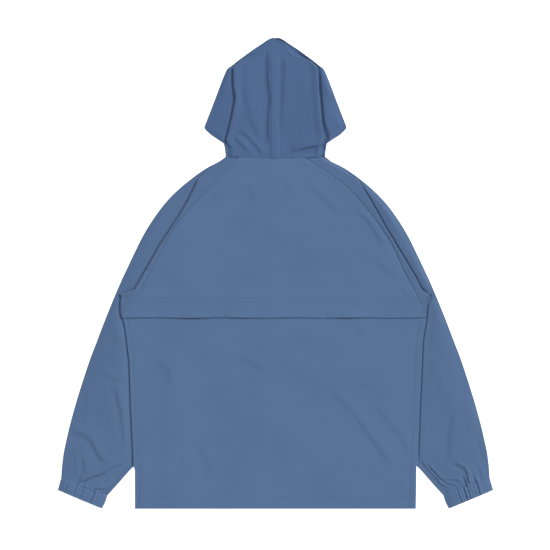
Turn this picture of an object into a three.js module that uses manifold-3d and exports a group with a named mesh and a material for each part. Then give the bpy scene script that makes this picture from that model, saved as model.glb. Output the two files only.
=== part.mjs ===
// Hooded zip-up windbreaker, laid flat on its front with its back up and its sleeves swung down.
// Millimetres, +Z up. X runs across the garment and Y from the hem to the top of the hood.
// The origin lies on the surface that the garment rests on, under the middle of the garment.
// In the tables y is the height above the hem, and x the distance out from the centre line.

import * as THREE from 'three';
import * as BufferGeometryUtils from 'three/addons/utils/BufferGeometryUtils.js';
import Module from 'manifold-3d';

const wasm = await Module();
wasm.setup();

// ---- cloth and layers ----

const WALL = 1.2; // shell cloth with its seam allowances
const SEAM = 0.3; // space between two pieces that meet at a seam
const PITCH = WALL + SEAM; // from one layer to the next that lies on it
const FLOOR = WALL / 2; // middle of the layer that rests on the surface
const UNDER = FLOOR + PITCH; // sleeve's upper layer, lying on its lower one
const TUCK = UNDER + PITCH; // cloth turned back inside a pleat
const FRONT_OVER_SLEEVE = TUCK + 0.15;
const BACK = 5.6; // middle of the back, above the tucked sleeves
const FLAP = BACK + PITCH; // back flap, lying on the lower back

// ---- sizes ----

const CENTRE_SEAM_X = -2; // hood's centre seam, a little left of the middle as laid
// Hood: where its layers part above the wing tips, its fall to the apex, its middle ridge, and
// the height and share of its half width that limit how far its side folds reach in.
const HOOD = {
  top: 988, topRun: 60, underFrom: 850, underRun: 50, neckRun: 40,
  sag: 1.4, sagHalf: 28, sagRun: 34, ridge: 1.2, ridgeHalf: 11, foldsEnd: 926, foldShare: 0.4,
};
const WING_RIM = { lift: 1.1, top: 808, bottom: 752, run: 8 }; // wings' lower edges are rounder
const NECK_Y = 734; // neck seam at the centre back
const NECK_RISE = 5; // how much higher the neck seam ends at the shoulders
const NECK_HALF = 104;
const NECK_CURVE_START_Y = 690; // above this the yoke's rows bend up to the neck seam
const FRONT_NECK_Y = 654; // neck seam at the zip
const FLAP_EDGE_Y = 401;
const FLAP_SEAM_Y = 442; // where the lower back is sewn under the flap
const FLAP_STEP = { start: 455, run: 10 }; // where the yoke steps up on to the lower back
const UNDERARM_Y = 446;
const RAGLAN_END_Y = 411;
const SIDE_SEAM_IN = { left: 8, right: 15 }; // front wraps round to the back by this much
// The front climbs over the tucked sleeve from this far before its inner edge, between two heights.
const CLIMB = { before: 24, run: 20, top: 452, topRun: 12, bottom: 58, bottomRun: 24 };
const CLIMB_ROOM = { after: 5, before: 27, sideAfter: 3, sideBefore: 12 }; // columns beside the climb
const SLEEVE_LIMIT_X = 480; // beyond the sleeve's outer edge
const SLEEVE_LOFT = 3; // how far the sleeve's upper layer stands off the lower one
const LOFT_PER_WIDTH = 0.05; // less where the sleeve is narrow
const FOLD_CLEAR = 4; // the loft starts this far outside a fold
const RIM = { lift: 0.8, from: 713, run: 14 }; // the outer edge is rounder close to the neck
const CUFF_LOFT = 3.2;
const CUFF_GATHERS = 13;
const GATHER_HEIGHT = 1.1;
const GATHER_DRIFT = { most: 1.3, turns: 9 }; // makes the gathers uneven in width

// ---- zip ----

const ZIP_GAP = 5.5; // front edge to centre line
const TAPE_IN = 3.2;
const TAPE_OUT = 16;
const TAPE_WALL = 1;
const CHAIN_HALF = 2.8;
const CHAIN_WALL = 1.8;
const ZIP_LEVEL = 2; // middle of tape and chain where the front lies flat
const ZIP_START_Y = 13;
const SLIDER_Y = 640;
const SLIDER_LIFT = 2.7; // cloth is held off the surface here by the slider and its pull
const BACK_LIFT = 2.3; // and the back rides over it
const LIFT_REACH = { along: 130, across: 90, back: 115 };
const SLIDER = { length: 12, width: 9, plate: 0.8, post: 2.4, clearance: 0.3 };
const BRIDGE = { width: 1.2, span: 9, bar: 0.8, post: 1, height: 1.7 };
const PULL = { length: 28, width: 7, thickness: 1, eye: 2.8, window: 6, drop: 0.9 };

// ---- outlines and folds ----

const WING_TIP_Y = 801; // row where the wings' edges start to turn under the hood
const HOOD_EDGE = [
  { y: 988, x: 11 }, { y: 985, x: 16 }, { y: 980, x: 23 }, { y: 972, x: 35 }, { y: 960, x: 53 },
  { y: 945, x: 73 }, { y: 931, x: 91 }, { y: 921, x: 103.5 }, { y: 910, x: 108 },
  { y: 895, x: 114 }, { y: 875, x: 121.5 }, { y: 855, x: 129 }, { y: 835, x: 136.5 },
  { y: 815, x: 144.5 }, { y: 805, x: 148.5 }, { y: 800, x: 149.5 }, { y: 795, x: 147.5 },
  { y: 784, x: 134 }, { y: 774, x: 119 }, { y: 766, x: 110.5 }, { y: 755, x: 106 },
  { y: 742, x: 105 },
];
// Edge of the hood's back part, which lies over its front part, and how it turns under.
const HOOD_FOLD = [
  { y: 988, left: 6, right: 6, turn: 0, depth: 0 },
  { y: 985, left: 10, right: 10, turn: 0, depth: 0 },
  { y: 977, left: 22, right: 22, turn: 0, depth: 0 },
  { y: 965, left: 36, right: 36, turn: 0, depth: 0 },
  { y: 950, left: 56, right: 56, turn: 0, depth: 0 },
  { y: 939, left: 72, right: 72, turn: 0, depth: 0 },
  { y: 932, left: 80, right: 80, turn: 0, depth: 0 },
  { y: 928, left: 85, right: 85, turn: 50, depth: 0 },
  { y: 923, left: 88, right: 88, turn: 130, depth: 0 },
  { y: 918, left: 89, right: 89.5, turn: 180, depth: 3 },
  { y: 910, left: 89, right: 90, turn: 180, depth: 9 },
  { y: 885, left: 88, right: 91, turn: 180, depth: 16 },
  { y: 862, left: 85, right: 93, turn: 180, depth: 19 },
  { y: 838, left: 89, right: 95, turn: 180, depth: 20 },
  { y: 814, left: 94, right: 97, turn: 180, depth: 17 },
  { y: 801, left: 97, right: 99, turn: 180, depth: 13 },
  { y: 788, left: 100, right: 101, turn: 180, depth: 8 },
  { y: 776, left: 104, right: 103, turn: 180, depth: 3 },
  { y: 771, left: 103.5, right: 103, turn: 120, depth: 0 },
  { y: 766, left: 101, right: 101, turn: 70, depth: 0 },
  { y: 758, left: 94, right: 94, turn: 40, depth: 0 },
  { y: 748, left: 91, right: 91, turn: 26, depth: 0 },
  { y: 734, left: 91, right: 91, turn: 20, depth: 0 },
];
// Face opening: hem edge of the hood's front part, under the wings.
const HOOD_OPENING = [
  { y: 800, x: 140 }, { y: 788, x: 122 }, { y: 771, x: 98 }, { y: 748, x: 70 },
  { y: 720, x: 45 }, { y: 690, x: 23 }, { y: 670, x: 12 }, { y: 656, x: 8 },
];
const FRONT_NECK = [
  { y: 742, x: 105 }, { y: 725, x: 93 }, { y: 708, x: 82 }, { y: 691, x: 70 },
  { y: 680, x: 58 }, { y: 670, x: 44 }, { y: 662, x: 29 }, { y: 656, x: 13 }, { y: 654, x: 5 },
];
const SLEEVE_EDGE = [
  { y: 742, x: 105 }, { y: 738, x: 106 }, { y: 732, x: 112 }, { y: 721, x: 134 },
  { y: 711, x: 151 }, { y: 690, x: 180 }, { y: 669, x: 205 }, { y: 648, x: 226 },
  { y: 627, x: 243 }, { y: 606, x: 258 }, { y: 564, x: 283 }, { y: 522, x: 303 },
  { y: 480, x: 323 }, { y: 438, x: 341 }, { y: 396, x: 358 }, { y: 354, x: 374 },
  { y: 312, x: 390 }, { y: 270, x: 404 }, { y: 228, x: 417 }, { y: 186, x: 429 },
  { y: 144, x: 439 }, { y: 102, x: 447 }, { y: 64, x: 450 },
];
const RAGLAN = [
  { y: 736, left: 80, right: 62 }, { y: 724, left: 90, right: 80 },
  { y: 696, left: 116, right: 122 }, { y: 669, left: 143, right: 155 },
  { y: 620, left: 189, right: 198 }, { y: 581, left: 219, right: 227 },
  { y: 550, left: 236, right: 246 }, { y: 520, left: 252, right: 259 },
  { y: 490, left: 267, right: 273 }, { y: 463, left: 281, right: 288 },
  { y: 438, left: 297, right: 300 }, { y: 411, left: 316, right: 312 },
];
const FRONT_RAGLAN = [
  { y: 691, x: 71 }, { y: 660, x: 103 }, { y: 620, x: 145 }, { y: 580, x: 185 },
  { y: 540, x: 223 }, { y: 500, x: 260 }, { y: 470, x: 288 }, { y: 455, x: 306 },
  { y: 447, x: 319 },
];
// Pleat where each sleeve is swung down: line of its fold, tilt of the section, and the turn.
const SLEEVE_PLEAT = [
  { y: 737, left: 99, right: 96, tilt: 4, turn: 55, depth: 0 },
  { y: 727, left: 110, right: 108, tilt: 18, turn: 50, depth: 0 },
  { y: 713, left: 132, right: 134, tilt: 26, turn: 45, depth: 0 },
  { y: 703, left: 148, right: 150, tilt: 28, turn: 50, depth: 0 },
  { y: 697, left: 157, right: 162, tilt: 30, turn: 80, depth: 0 },
  { y: 692, left: 162, right: 172, tilt: 30, turn: 130, depth: 0 },
  { y: 686, left: 165, right: 176, tilt: 30, turn: 180, depth: 2 },
  { y: 665, left: 175, right: 188, tilt: 30, turn: 180, depth: 9 },
  { y: 631, left: 193, right: 208, tilt: 30, turn: 180, depth: 17 },
  { y: 595, left: 216, right: 228, tilt: 30, turn: 180, depth: 21 },
  { y: 555, left: 242, right: 252, tilt: 30, turn: 180, depth: 22 },
  { y: 520, left: 262, right: 273, tilt: 30, turn: 180, depth: 19 },
  { y: 485, left: 282, right: 294, tilt: 30, turn: 180, depth: 12 },
  { y: 464, left: 294, right: 306, tilt: 30, turn: 180, depth: 6 },
  { y: 456, left: 305, right: 312, tilt: 30, turn: 180, depth: 2 },
  { y: 452, left: 312, right: 315, tilt: 30, turn: 130, depth: 0 },
  { y: 449, left: 317, right: 317, tilt: 30, turn: 95, depth: 0 },
  { y: 447, left: 320, right: 319, tilt: 30, turn: 70, depth: 0 },
];
const PLEAT_SPAN = { bottom: 447, top: 737 }; // heights of the pleat's first and last rows
const FRONT_SEAM_SPAN = { bottom: 447.3, top: 690.5 }; // and of their ends at the front raglan seam
// Sleeve below the underarm: heights of the outer and inner ends of each section, and for the
// tip that lies on the body, of its raglan seam and its end at the side.
const LOWER_SLEEVE = [
  { edge: 448, inner: 437, seam: 424, end: 434 },
  { edge: 438, inner: 416, seam: 413, end: 418 },
  { edge: 424, inner: 385 },
  { edge: 405, inner: 350 }, { edge: 380, inner: 310 }, { edge: 350, inner: 272 },
  { edge: 315, inner: 235 }, { edge: 280, inner: 200 }, { edge: 245, inner: 167 },
  { edge: 210, inner: 137 }, { edge: 175, inner: 113 }, { edge: 145, inner: 93 },
  { edge: 118, inner: 73 }, { edge: 90, inner: 50 }, { edge: 64, inner: 27 },
];
const SLEEVE_INNER = [
  { y: 446, x: 325 }, { y: 437, x: 319 }, { y: 416, x: 304 }, { y: 385, x: 272 },
  { y: 350, x: 243 }, { y: 310, x: 218 }, { y: 272, x: 208 }, { y: 235, x: 209 },
  { y: 200, x: 217 }, { y: 167, x: 231 }, { y: 137, x: 249 }, { y: 113, x: 269 },
  { y: 93, x: 293 }, { y: 73, x: 312 }, { y: 50, x: 332 }, { y: 27, x: 353 },
];
const BODY_SIDE = [
  { y: 446, left: 325, right: 319 }, { y: 415, left: 325, right: 318 },
  { y: 400, left: 321, right: 317 }, { y: 381, left: 316, right: 314 },
  { y: 348, left: 312, right: 309 }, { y: 303, left: 307, right: 307 },
  { y: 213, left: 304, right: 303 }, { y: 133, left: 300, right: 300 },
  { y: 100, left: 299, right: 299 }, { y: 89, left: 298, right: 296 },
  { y: 81, left: 295, right: 296 }, { y: 0, left: 295, right: 295 },
];
// Heights at which the fronts and the lower back share their side seam.
const SIDE_HEIGHTS = [
  0, 24, 58, 76, 89, 110, 137, 167, 200, 235, 272, 310, 348, 385, 404, 416, 427, 438,
];
const CUFF = [
  { outer: { x: 450, y: 63.4 }, inner: { x: 353, y: 26.4 } },
  { outer: { x: 453.5, y: 52 }, inner: { x: 357, y: 14 } },
  { outer: { x: 457, y: 39 }, inner: { x: 364, y: 0 } },
];

// ---- functions of height ----

// Smooth monotone curve through a table: the column as a function of y.
function curve(table, column = 'x') {
  const rows = [...table].sort((a, b) => a.y - b.y);
  const last = rows.length - 1;
  const secant = rows.slice(1).map((row, i) => (row[column] - rows[i][column]) / (row.y - rows[i].y));
  const slope = rows.map((_, i) => {
    const before = secant[Math.max(i - 1, 0)];
    const after = secant[Math.min(i, last - 1)];
    if (before * after <= 0) return 0;
    return (2 * before * after) / (before + after);
  });
  return (y) => {
    if (y <= rows[0].y) return rows[0][column];
    if (y >= rows[last].y) return rows[last][column];
    const i = rows.findIndex((row) => row.y > y) - 1;
    const span = rows[i + 1].y - rows[i].y;
    const t = (y - rows[i].y) / span;
    const rise = rows[i + 1][column] - rows[i][column];
    const ease = t * t * (3 - 2 * t);
    const leave = t * (1 - t) * (1 - t) * span * slope[i];
    const arrive = t * t * (1 - t) * span * slope[i + 1];
    return rows[i][column] + rise * ease + leave - arrive;
  };
}

// The curve moved out by a distance measured square to it.
function moved(edge, distance) {
  return (y) => edge(y) + distance * Math.hypot(1, (edge(y + 1) - edge(y - 1)) / 2);
}

const smoothstep = (value) => THREE.MathUtils.smoothstep(value, 0, 1);

// Rounded hill: 1 at no distance, 0 from its reach on.
function bump(distance, reach) {
  if (distance >= reach) return 0;
  return Math.cos((Math.PI / 2) * (distance / reach)) ** 2;
}

// Evenly spaced numbers, both ends included.
function between(from, to, count) {
  const step = (to - from) / (count - 1);
  return Array.from({ length: count }, (_, i) => from + step * i);
}

const hoodEdge = curve(HOOD_EDGE);
const hoodOpening = curve(HOOD_OPENING);
const frontNeck = curve(FRONT_NECK);
const sleeveEdge = curve(SLEEVE_EDGE);
const frontRaglan = curve(FRONT_RAGLAN);
const sleeveInner = curve(SLEEVE_INNER);
const raglan = { left: curve(RAGLAN, 'left'), right: curve(RAGLAN, 'right') };
const yokeSeam = { left: moved(raglan.left, -SEAM), right: moved(raglan.right, -SEAM) };
const sleeveSeam = { left: moved(raglan.left, SEAM), right: moved(raglan.right, SEAM) };
const frontSeam = moved(frontRaglan, -SEAM);
const bodySide = { left: curve(BODY_SIDE, 'left'), right: curve(BODY_SIDE, 'right') };

const neckSeam = (x) => NECK_Y + NECK_RISE * (x / NECK_HALF) ** 2;

// Extra height of the front, its zip and the hood's front corners around the slider.
function sliderLift(x, y) {
  const along = bump(Math.abs(y - SLIDER_Y), LIFT_REACH.along);
  return SLIDER_LIFT * along * bump(Math.abs(x), LIFT_REACH.across);
}

// Middle height of the back: it rides over the slider and steps up on to the lower back.
function backLevel(x, y) {
  const step = (FLAP - BACK) * smoothstep((FLAP_STEP.start - y) / FLAP_STEP.run);
  return BACK + step + BACK_LIFT * bump(Math.hypot(x, y - SLIDER_Y), LIFT_REACH.back);
}

// Middle height of the front, which lies on the surface but climbs over the tucked sleeve.
function frontLevel(x, y) {
  const overSleeve = smoothstep((x - sleeveInner(y) + CLIMB.before) / CLIMB.run);
  const belowTop = smoothstep((CLIMB.top - y) / CLIMB.topRun);
  const aboveBottom = smoothstep((y - CLIMB.bottom) / CLIMB.bottomRun);
  const climb = (FRONT_OVER_SLEEVE - FLOOR) * overSleeve * belowTop * aboveBottom;
  return FLOOR + climb + sliderLift(x, y);
}

// ---- walls ----

// Closed wall around a grid of points on the middle of the cloth. present(i, j) says whether
// there is cloth between rows i and i + 1 and columns j and j + 1.
function clothWall(grid, { present = () => true, thickness = WALL, ring = false } = {}) {
  const rowCount = grid.length;
  const columnCount = grid[0].length;
  const clamp = THREE.MathUtils.clamp;
  const column = (j) => (ring ? (j + columnCount) % columnCount : clamp(j, 0, columnCount - 1));
  const cellColumns = ring ? columnCount : columnCount - 1;
  const filled = (i, j) => {
    if (i < 0 || i >= rowCount - 1) return false;
    if (!ring && (j < 0 || j >= cellColumns)) return false;
    return present(i, column(j));
  };

  const positions = [];
  const numbers = new Map();
  const across = new THREE.Vector3();
  const along = new THREE.Vector3();
  const vertex = (i, j, side) => {
    const key = `${i},${column(j)},${side}`;
    if (!numbers.has(key)) {
      const [a, b, c, d] = [filled(i - 1, j - 1), filled(i - 1, j), filled(i, j), filled(i, j - 1)];
      across.subVectors(grid[i][column(b || c ? j + 1 : j)], grid[i][column(a || d ? j - 1 : j)]);
      along.subVectors(grid[c || d ? i + 1 : i][column(j)], grid[a || b ? i - 1 : i][column(j)]);
      const offset = across.cross(along).setLength((side * thickness) / 2);
      numbers.set(key, positions.length / 3);
      positions.push(...grid[i][column(j)].clone().add(offset));
    }
    return numbers.get(key);
  };

  const faces = [];
  const quad = (a, b, c, d) => faces.push(a, b, c, a, c, d);
  for (let i = 0; i < rowCount - 1; i += 1) {
    for (let j = 0; j < cellColumns; j += 1) {
      if (!filled(i, j)) continue;
      const corners = [[i, j], [i, j + 1], [i + 1, j + 1], [i + 1, j]];
      const [a, b, c, d] = corners.map(([p, q]) => vertex(p, q, 1));
      const [e, f, g, h] = corners.map(([p, q]) => vertex(p, q, -1));
      quad(a, b, c, d);
      quad(h, g, f, e);
      if (!filled(i - 1, j)) quad(b, a, e, f);
      if (!filled(i, j + 1)) quad(c, b, f, g);
      if (!filled(i + 1, j)) quad(d, c, g, h);
      if (!filled(i, j - 1)) quad(a, d, h, e);
    }
  }
  return facingOut(positions, faces);
}

// Geometry with its faces turned outward, whichever way its grid ran.
function facingOut(positions, faces) {
  const corner = (n) => new THREE.Vector3().fromArray(positions, faces[n] * 3);
  let volume = 0;
  for (let n = 0; n < faces.length; n += 3) {
    volume += corner(n).dot(corner(n + 1).cross(corner(n + 2)));
  }
  const geometry = new THREE.BufferGeometry();
  geometry.setAttribute('position', new THREE.Float32BufferAttribute(positions, 3));
  geometry.setIndex(volume < 0 ? [...faces].reverse() : faces);
  geometry.computeVertexNormals();
  return geometry;
}

const RUN_POINTS = 8;
const FOLD_EASE = 0.8; // how much rounder a fold is where it opens out

// Section of a fold: the cloth turns down through `turn` degrees, runs back by `depth` and turns
// level again at the low height. s is measured outward from the outside of the fold.
function foldRun({ top, middle, low, turn, depth, reach = 0 }) {
  if (turn === 0) {
    return between(0, 1, RUN_POINTS).map((share) => (
      { s: reach * (share - 1), z: top + (low - top) * smoothstep(share) }
    ));
  }
  const ease = FOLD_EASE * (1 - turn / 180);
  const upperRadius = (top - middle) / 2 + ease / 2;
  const lowerRadius = (middle - low) / 2 + ease;
  const angle = THREE.MathUtils.degToRad(turn);
  const curved = (upperRadius + lowerRadius) * (1 - Math.cos(angle));
  const straight = turn === 180 ? depth : (top - low - curved) / Math.sin(angle);
  const start = -(upperRadius + WALL / 2);
  const points = [];
  for (const share of [0, 1 / 3, 2 / 3, 1]) {
    const heading = angle * share;
    points.push({
      s: start + upperRadius * Math.sin(heading),
      z: top - upperRadius * (1 - Math.cos(heading)),
    });
  }
  const from = {
    s: points[3].s + straight * Math.cos(angle),
    z: points[3].z - straight * Math.sin(angle),
  };
  for (const share of [1, 2 / 3, 1 / 3, 0]) {
    const heading = angle * share;
    points.push({
      s: from.s + lowerRadius * (Math.sin(angle) - Math.sin(heading)),
      z: from.z - lowerRadius * (Math.cos(heading) - Math.cos(angle)),
    });
  }
  return points;
}

// Section of an outer edge, turned under from the upper height to the lower one.
function edgeTurn(edge, upper, lower) {
  const radius = (upper - lower) / 2;
  return [0, 1 / 3, 2 / 3, 1].map((share) => ({
    s: edge - WALL / 2 - radius + radius * Math.sin(Math.PI * share),
    z: upper - radius * (1 - Math.cos(Math.PI * share)),
  }));
}

// Crossing of the line from a start point, at a slope, with a curve x(y).
function crossing(start, slope, edge, limit) {
  let near = start.x;
  let far = limit;
  const outside = (x) => Math.sign(limit - start.x) * (x - edge(start.y + (x - start.x) * slope)) > 0;
  for (let n = 0; n < 40; n += 1) {
    const half = (near + far) / 2;
    if (outside(half)) far = half;
    else near = half;
  }
  return new THREE.Vector2(near, start.y + (near - start.x) * slope);
}

// ---- pieces ----

const SHELL = 0x54709a;
const part = new THREE.Group();

function add(name, geometry, look = {}) {
  const material = new THREE.MeshStandardMaterial({ color: SHELL, roughness: 0.8, metalness: 0, ...look });
  const mesh = new THREE.Mesh(geometry, material);
  mesh.name = name;
  part.add(mesh);
  return mesh;
}

function mirrored(grid, side) {
  if (side === 'right') return grid;
  return grid.map((row) => row.map((point) => point.clone().setX(-point.x)));
}

// Upper back from the neck seam to the loose edge of its flap.
function backYoke() {
  const heights = [
    FLAP_EDGE_Y, RAGLAN_END_Y - SEAM, RAGLAN_END_Y, 426, FLAP_SEAM_Y, 448, 455, 475, 500, 530,
    560, 590, 617, 640, 660, 678, 692, 704, 715, 725, NECK_Y,
  ];
  const edge = (y, side) => (y < RAGLAN_END_Y ? bodySide[side](y) - SEAM : yokeSeam[side](y));
  const grid = heights.map((height) => {
    const neckShare = smoothstep((height - NECK_CURVE_START_Y) / (NECK_Y - NECK_CURVE_START_Y));
    const level = (x) => height + neckShare * (neckSeam(x) - NECK_Y);
    const end = (side) => [1, 2, 3].reduce((x) => edge(level(x), side), edge(height, side));
    return between(-end('left'), end('right'), 15).map((x) => {
      const y = level(x) - (height === NECK_Y ? SEAM / 2 : 0);
      return new THREE.Vector3(x, y, backLevel(x, height));
    });
  });
  return clothWall(grid);
}

// Lower back, sewn in under the flap.
function backLower() {
  const grid = SIDE_HEIGHTS.map((y) => {
    const left = -(bodySide.left(y) - SIDE_SEAM_IN.left - SEAM / 2);
    const right = bodySide.right(y) - SIDE_SEAM_IN.right - SEAM / 2;
    return between(left, right, 11).map((x) => new THREE.Vector3(x, y, BACK));
  });
  return clothWall(grid);
}

// Front of one side: side seam on the back, round the side edge and in to the zip.
function front(side) {
  const heights = [
    ...SIDE_HEIGHTS, 444, 447, 451, 456, 470, 485, 500, 540, 580, 615, 640, 653.5, 657.5, 662, 672, 684,
  ];
  const wrapColumns = 4;
  const sideColumns = 5;
  const grid = heights.map((y) => {
    const sideEdge = bodySide[side](y);
    const turned = edgeTurn(sideEdge, BACK, frontLevel(sideEdge - 2, y));
    const start = turned[turned.length - 1].s;
    const flatEnd = Math.min(sleeveInner(y) - CLIMB_ROOM.after, start - CLIMB_ROOM.sideAfter);
    const rampEnd = Math.min(sleeveInner(y) - CLIMB_ROOM.before, start - CLIMB_ROOM.sideBefore);
    const outer = y > UNDERARM_Y ? frontSeam(y) : rampEnd;
    const inner = y > FRONT_NECK_Y ? frontNeck(y) + SEAM : ZIP_GAP;
    const flat = [
      ...between(start, flatEnd, 4).slice(1), (flatEnd + outer) / 2,
      ...between(outer, inner, 9),
    ];
    return [
      new THREE.Vector3(sideEdge - SIDE_SEAM_IN[side] + SEAM / 2, y, BACK),
      ...turned.map(({ s, z }) => new THREE.Vector3(s, y, z)),
      ...flat.map((x) => new THREE.Vector3(x, y, frontLevel(x, y))),
    ];
  });
  const present = (i, j) => j >= wrapColumns + sideColumns || i < SIDE_HEIGHTS.length - 1;
  return clothWall(mirrored(grid, side), { present });
}

// One raglan sleeve: a single piece from the back raglan seam, over the pleat and round the
// outer edge to the front raglan seam, and below the underarm a flat tube.
function sleeve(side) {
  const topColumns = 2;
  const tubeStart = topColumns + 7;
  const upperColumns = 4;
  const lowerColumns = 4;
  const grid = [];
  for (const { y, tilt, turn, depth, ...fold } of SLEEVE_PLEAT) {
    const slope = Math.tan(THREE.MathUtils.degToRad(tilt));
    const foldPoint = new THREE.Vector2(fold[side], y);
    const seam = crossing(foldPoint, slope, sleeveSeam[side], 0);
    const outer = crossing(foldPoint, slope, sleeveEdge, SLEEVE_LIMIT_X);
    const share = (y - PLEAT_SPAN.bottom) / (PLEAT_SPAN.top - PLEAT_SPAN.bottom);
    const frontY = THREE.MathUtils.lerp(FRONT_SEAM_SPAN.bottom, FRONT_SEAM_SPAN.top, share);
    const under = new THREE.Vector2(moved(frontRaglan, SEAM / 2)(frontY), frontY);
    const rim = UNDER + RIM.lift * smoothstep((y - RIM.from) / RIM.run);
    grid.push(sleeveRow({ seam, foldPoint, outer, under, turn, depth, rim }));
  }
  const pleatRows = grid.length;
  for (const { edge, inner, seam, end } of LOWER_SLEEVE) {
    const above = grid[grid.length - 1].slice(0, tubeStart).map((p) => p.clone());
    if (seam) {
      between(0, 1, topColumns + 1).forEach((share, n) => {
        const from = new THREE.Vector3(sleeveSeam[side](seam), seam, FLAP);
        above[n] = from.lerp(new THREE.Vector3(bodySide[side](end) - SEAM, end, FLAP), share);
      });
    }
    const outer = new THREE.Vector2(sleeveEdge(edge), edge);
    grid.push(tubeRow({ outer, inner: new THREE.Vector2(sleeveInner(inner), inner), above }));
  }
  const tipRows = LOWER_SLEEVE.filter(({ seam }) => seam).length;
  const present = (i, j) => (
    i < pleatRows - 1 || j >= tubeStart || (j < topColumns && i < pleatRows - 1 + tipRows)
  );
  return clothWall(mirrored(grid, side), { present });

  function sleeveRow({ seam, foldPoint, outer, under, turn, depth, rim }) {
    const direction = outer.clone().sub(seam).normalize();
    const at = (s, z) => new THREE.Vector3(foldPoint.x + direction.x * s, foldPoint.y + direction.y * s, z);
    const seamAt = -foldPoint.distanceTo(seam);
    const edgeAt = foldPoint.distanceTo(outer);
    const top = backLevel(foldPoint.x, foldPoint.y);
    const run = foldRun({ top, middle: TUCK, low: UNDER, turn, depth });
    const turned = edgeTurn(edgeAt, rim, FLOOR);
    const seamLevel = backLevel(seam.x, seam.y);
    const row = between(0, 1, topColumns + 1).slice(0, -1).map((share) => (
      at(seamAt + (run[0].s - seamAt) * share, seamLevel + (top - seamLevel) * share)
    ));
    run.forEach(({ s, z }) => row.push(at(s, z)));
    const begin = run[run.length - 1].s;
    const end = turned[0].s;
    const loft = Math.min(SLEEVE_LOFT, LOFT_PER_WIDTH * Math.max(end - 2, 0));
    const clear = Math.min(Math.max(FOLD_CLEAR, begin + FOLD_CLEAR / 2), (begin + end) / 2);
    for (const share of between(0, 1, upperColumns)) {
      const height = THREE.MathUtils.lerp(UNDER, rim, share) + loft * Math.sin(Math.PI * share);
      row.push(at(clear + (end - clear) * share, height));
    }
    turned.slice(1).forEach(({ s, z }) => row.push(at(s, z)));
    const from = row[row.length - 1];
    for (const share of between(0, 1, lowerColumns + 1).slice(1)) {
      row.push(from.clone().lerp(new THREE.Vector3(under.x, under.y, FLOOR), share));
    }
    return row;
  }

  function tubeRow({ outer, inner, above }) {
    const direction = outer.clone().sub(inner).normalize();
    const width = outer.distanceTo(inner);
    const at = (s, z) => new THREE.Vector3(inner.x + direction.x * s, inner.y + direction.y * s, z);
    const shown = crossing(outer, direction.y / direction.x, bodySide[side], inner.x - 1);
    const hidden = Math.max(inner.distanceTo(shown) + 5, 5);
    const turned = edgeTurn(width, UNDER, FLOOR);
    const end = turned[0].s;
    const row = [...above];
    const loft = Math.min(SLEEVE_LOFT, LOFT_PER_WIDTH * Math.max(end - hidden, 0));
    row.push(at(0, UNDER));
    const stops = [Math.min(hidden, end - 6), 0.35, 0.7, 1];
    stops.forEach((stop, n) => {
      const s = n === 0 ? stop : stops[0] + (end - stops[0]) * stop;
      const puff = n === 0 || n === 3 ? 0 : loft * Math.sin(Math.PI * stop);
      row.push(at(s, UNDER + puff));
    });
    turned.slice(1).forEach(({ s, z }) => row.push(at(s, z)));
    const under = turned[turned.length - 1].s;
    for (const share of between(0, 1, lowerColumns + 1).slice(1)) row.push(at(under * (1 - share), FLOOR));
    return row;
  }
}

// Elasticated cuff: a flat tube whose upper side is gathered.
function cuff(side) {
  const perGather = 3;
  const columns = CUFF_GATHERS * perGather + 1;
  const grid = CUFF.map(({ outer, inner }, rowNumber) => {
    const width = Math.hypot(outer.x - inner.x, outer.y - inner.y);
    const at = (s, z) => new THREE.Vector3(
      inner.x + ((outer.x - inner.x) * s) / width,
      inner.y + ((outer.y - inner.y) * s) / width,
      z,
    );
    const upperAt = (s) => {
      const share = s / width;
      const drift = GATHER_DRIFT.most * Math.sin(GATHER_DRIFT.turns * share + rowNumber);
      const wave = (1 + Math.cos(2 * Math.PI * CUFF_GATHERS * share + drift)) / 2;
      const fade = Math.min(1, 8 * share * (1 - share));
      const height = CUFF_LOFT * Math.sqrt(Math.sin(Math.PI * share));
      return UNDER + height + GATHER_HEIGHT * wave * fade;
    };
    const inset = WALL / 2 + (UNDER - FLOOR) / 2;
    const row = between(inset, width - inset, columns).map((s) => at(s, upperAt(s)));
    const middle = (UNDER + FLOOR) / 2;
    row.push(at(width - WALL / 2, middle));
    for (const s of between(width - inset, inset, 7)) row.push(at(s, FLOOR));
    row.push(at(WALL / 2, middle));
    return row;
  });
  return clothWall(mirrored(grid, side), { ring: true });
}

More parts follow.
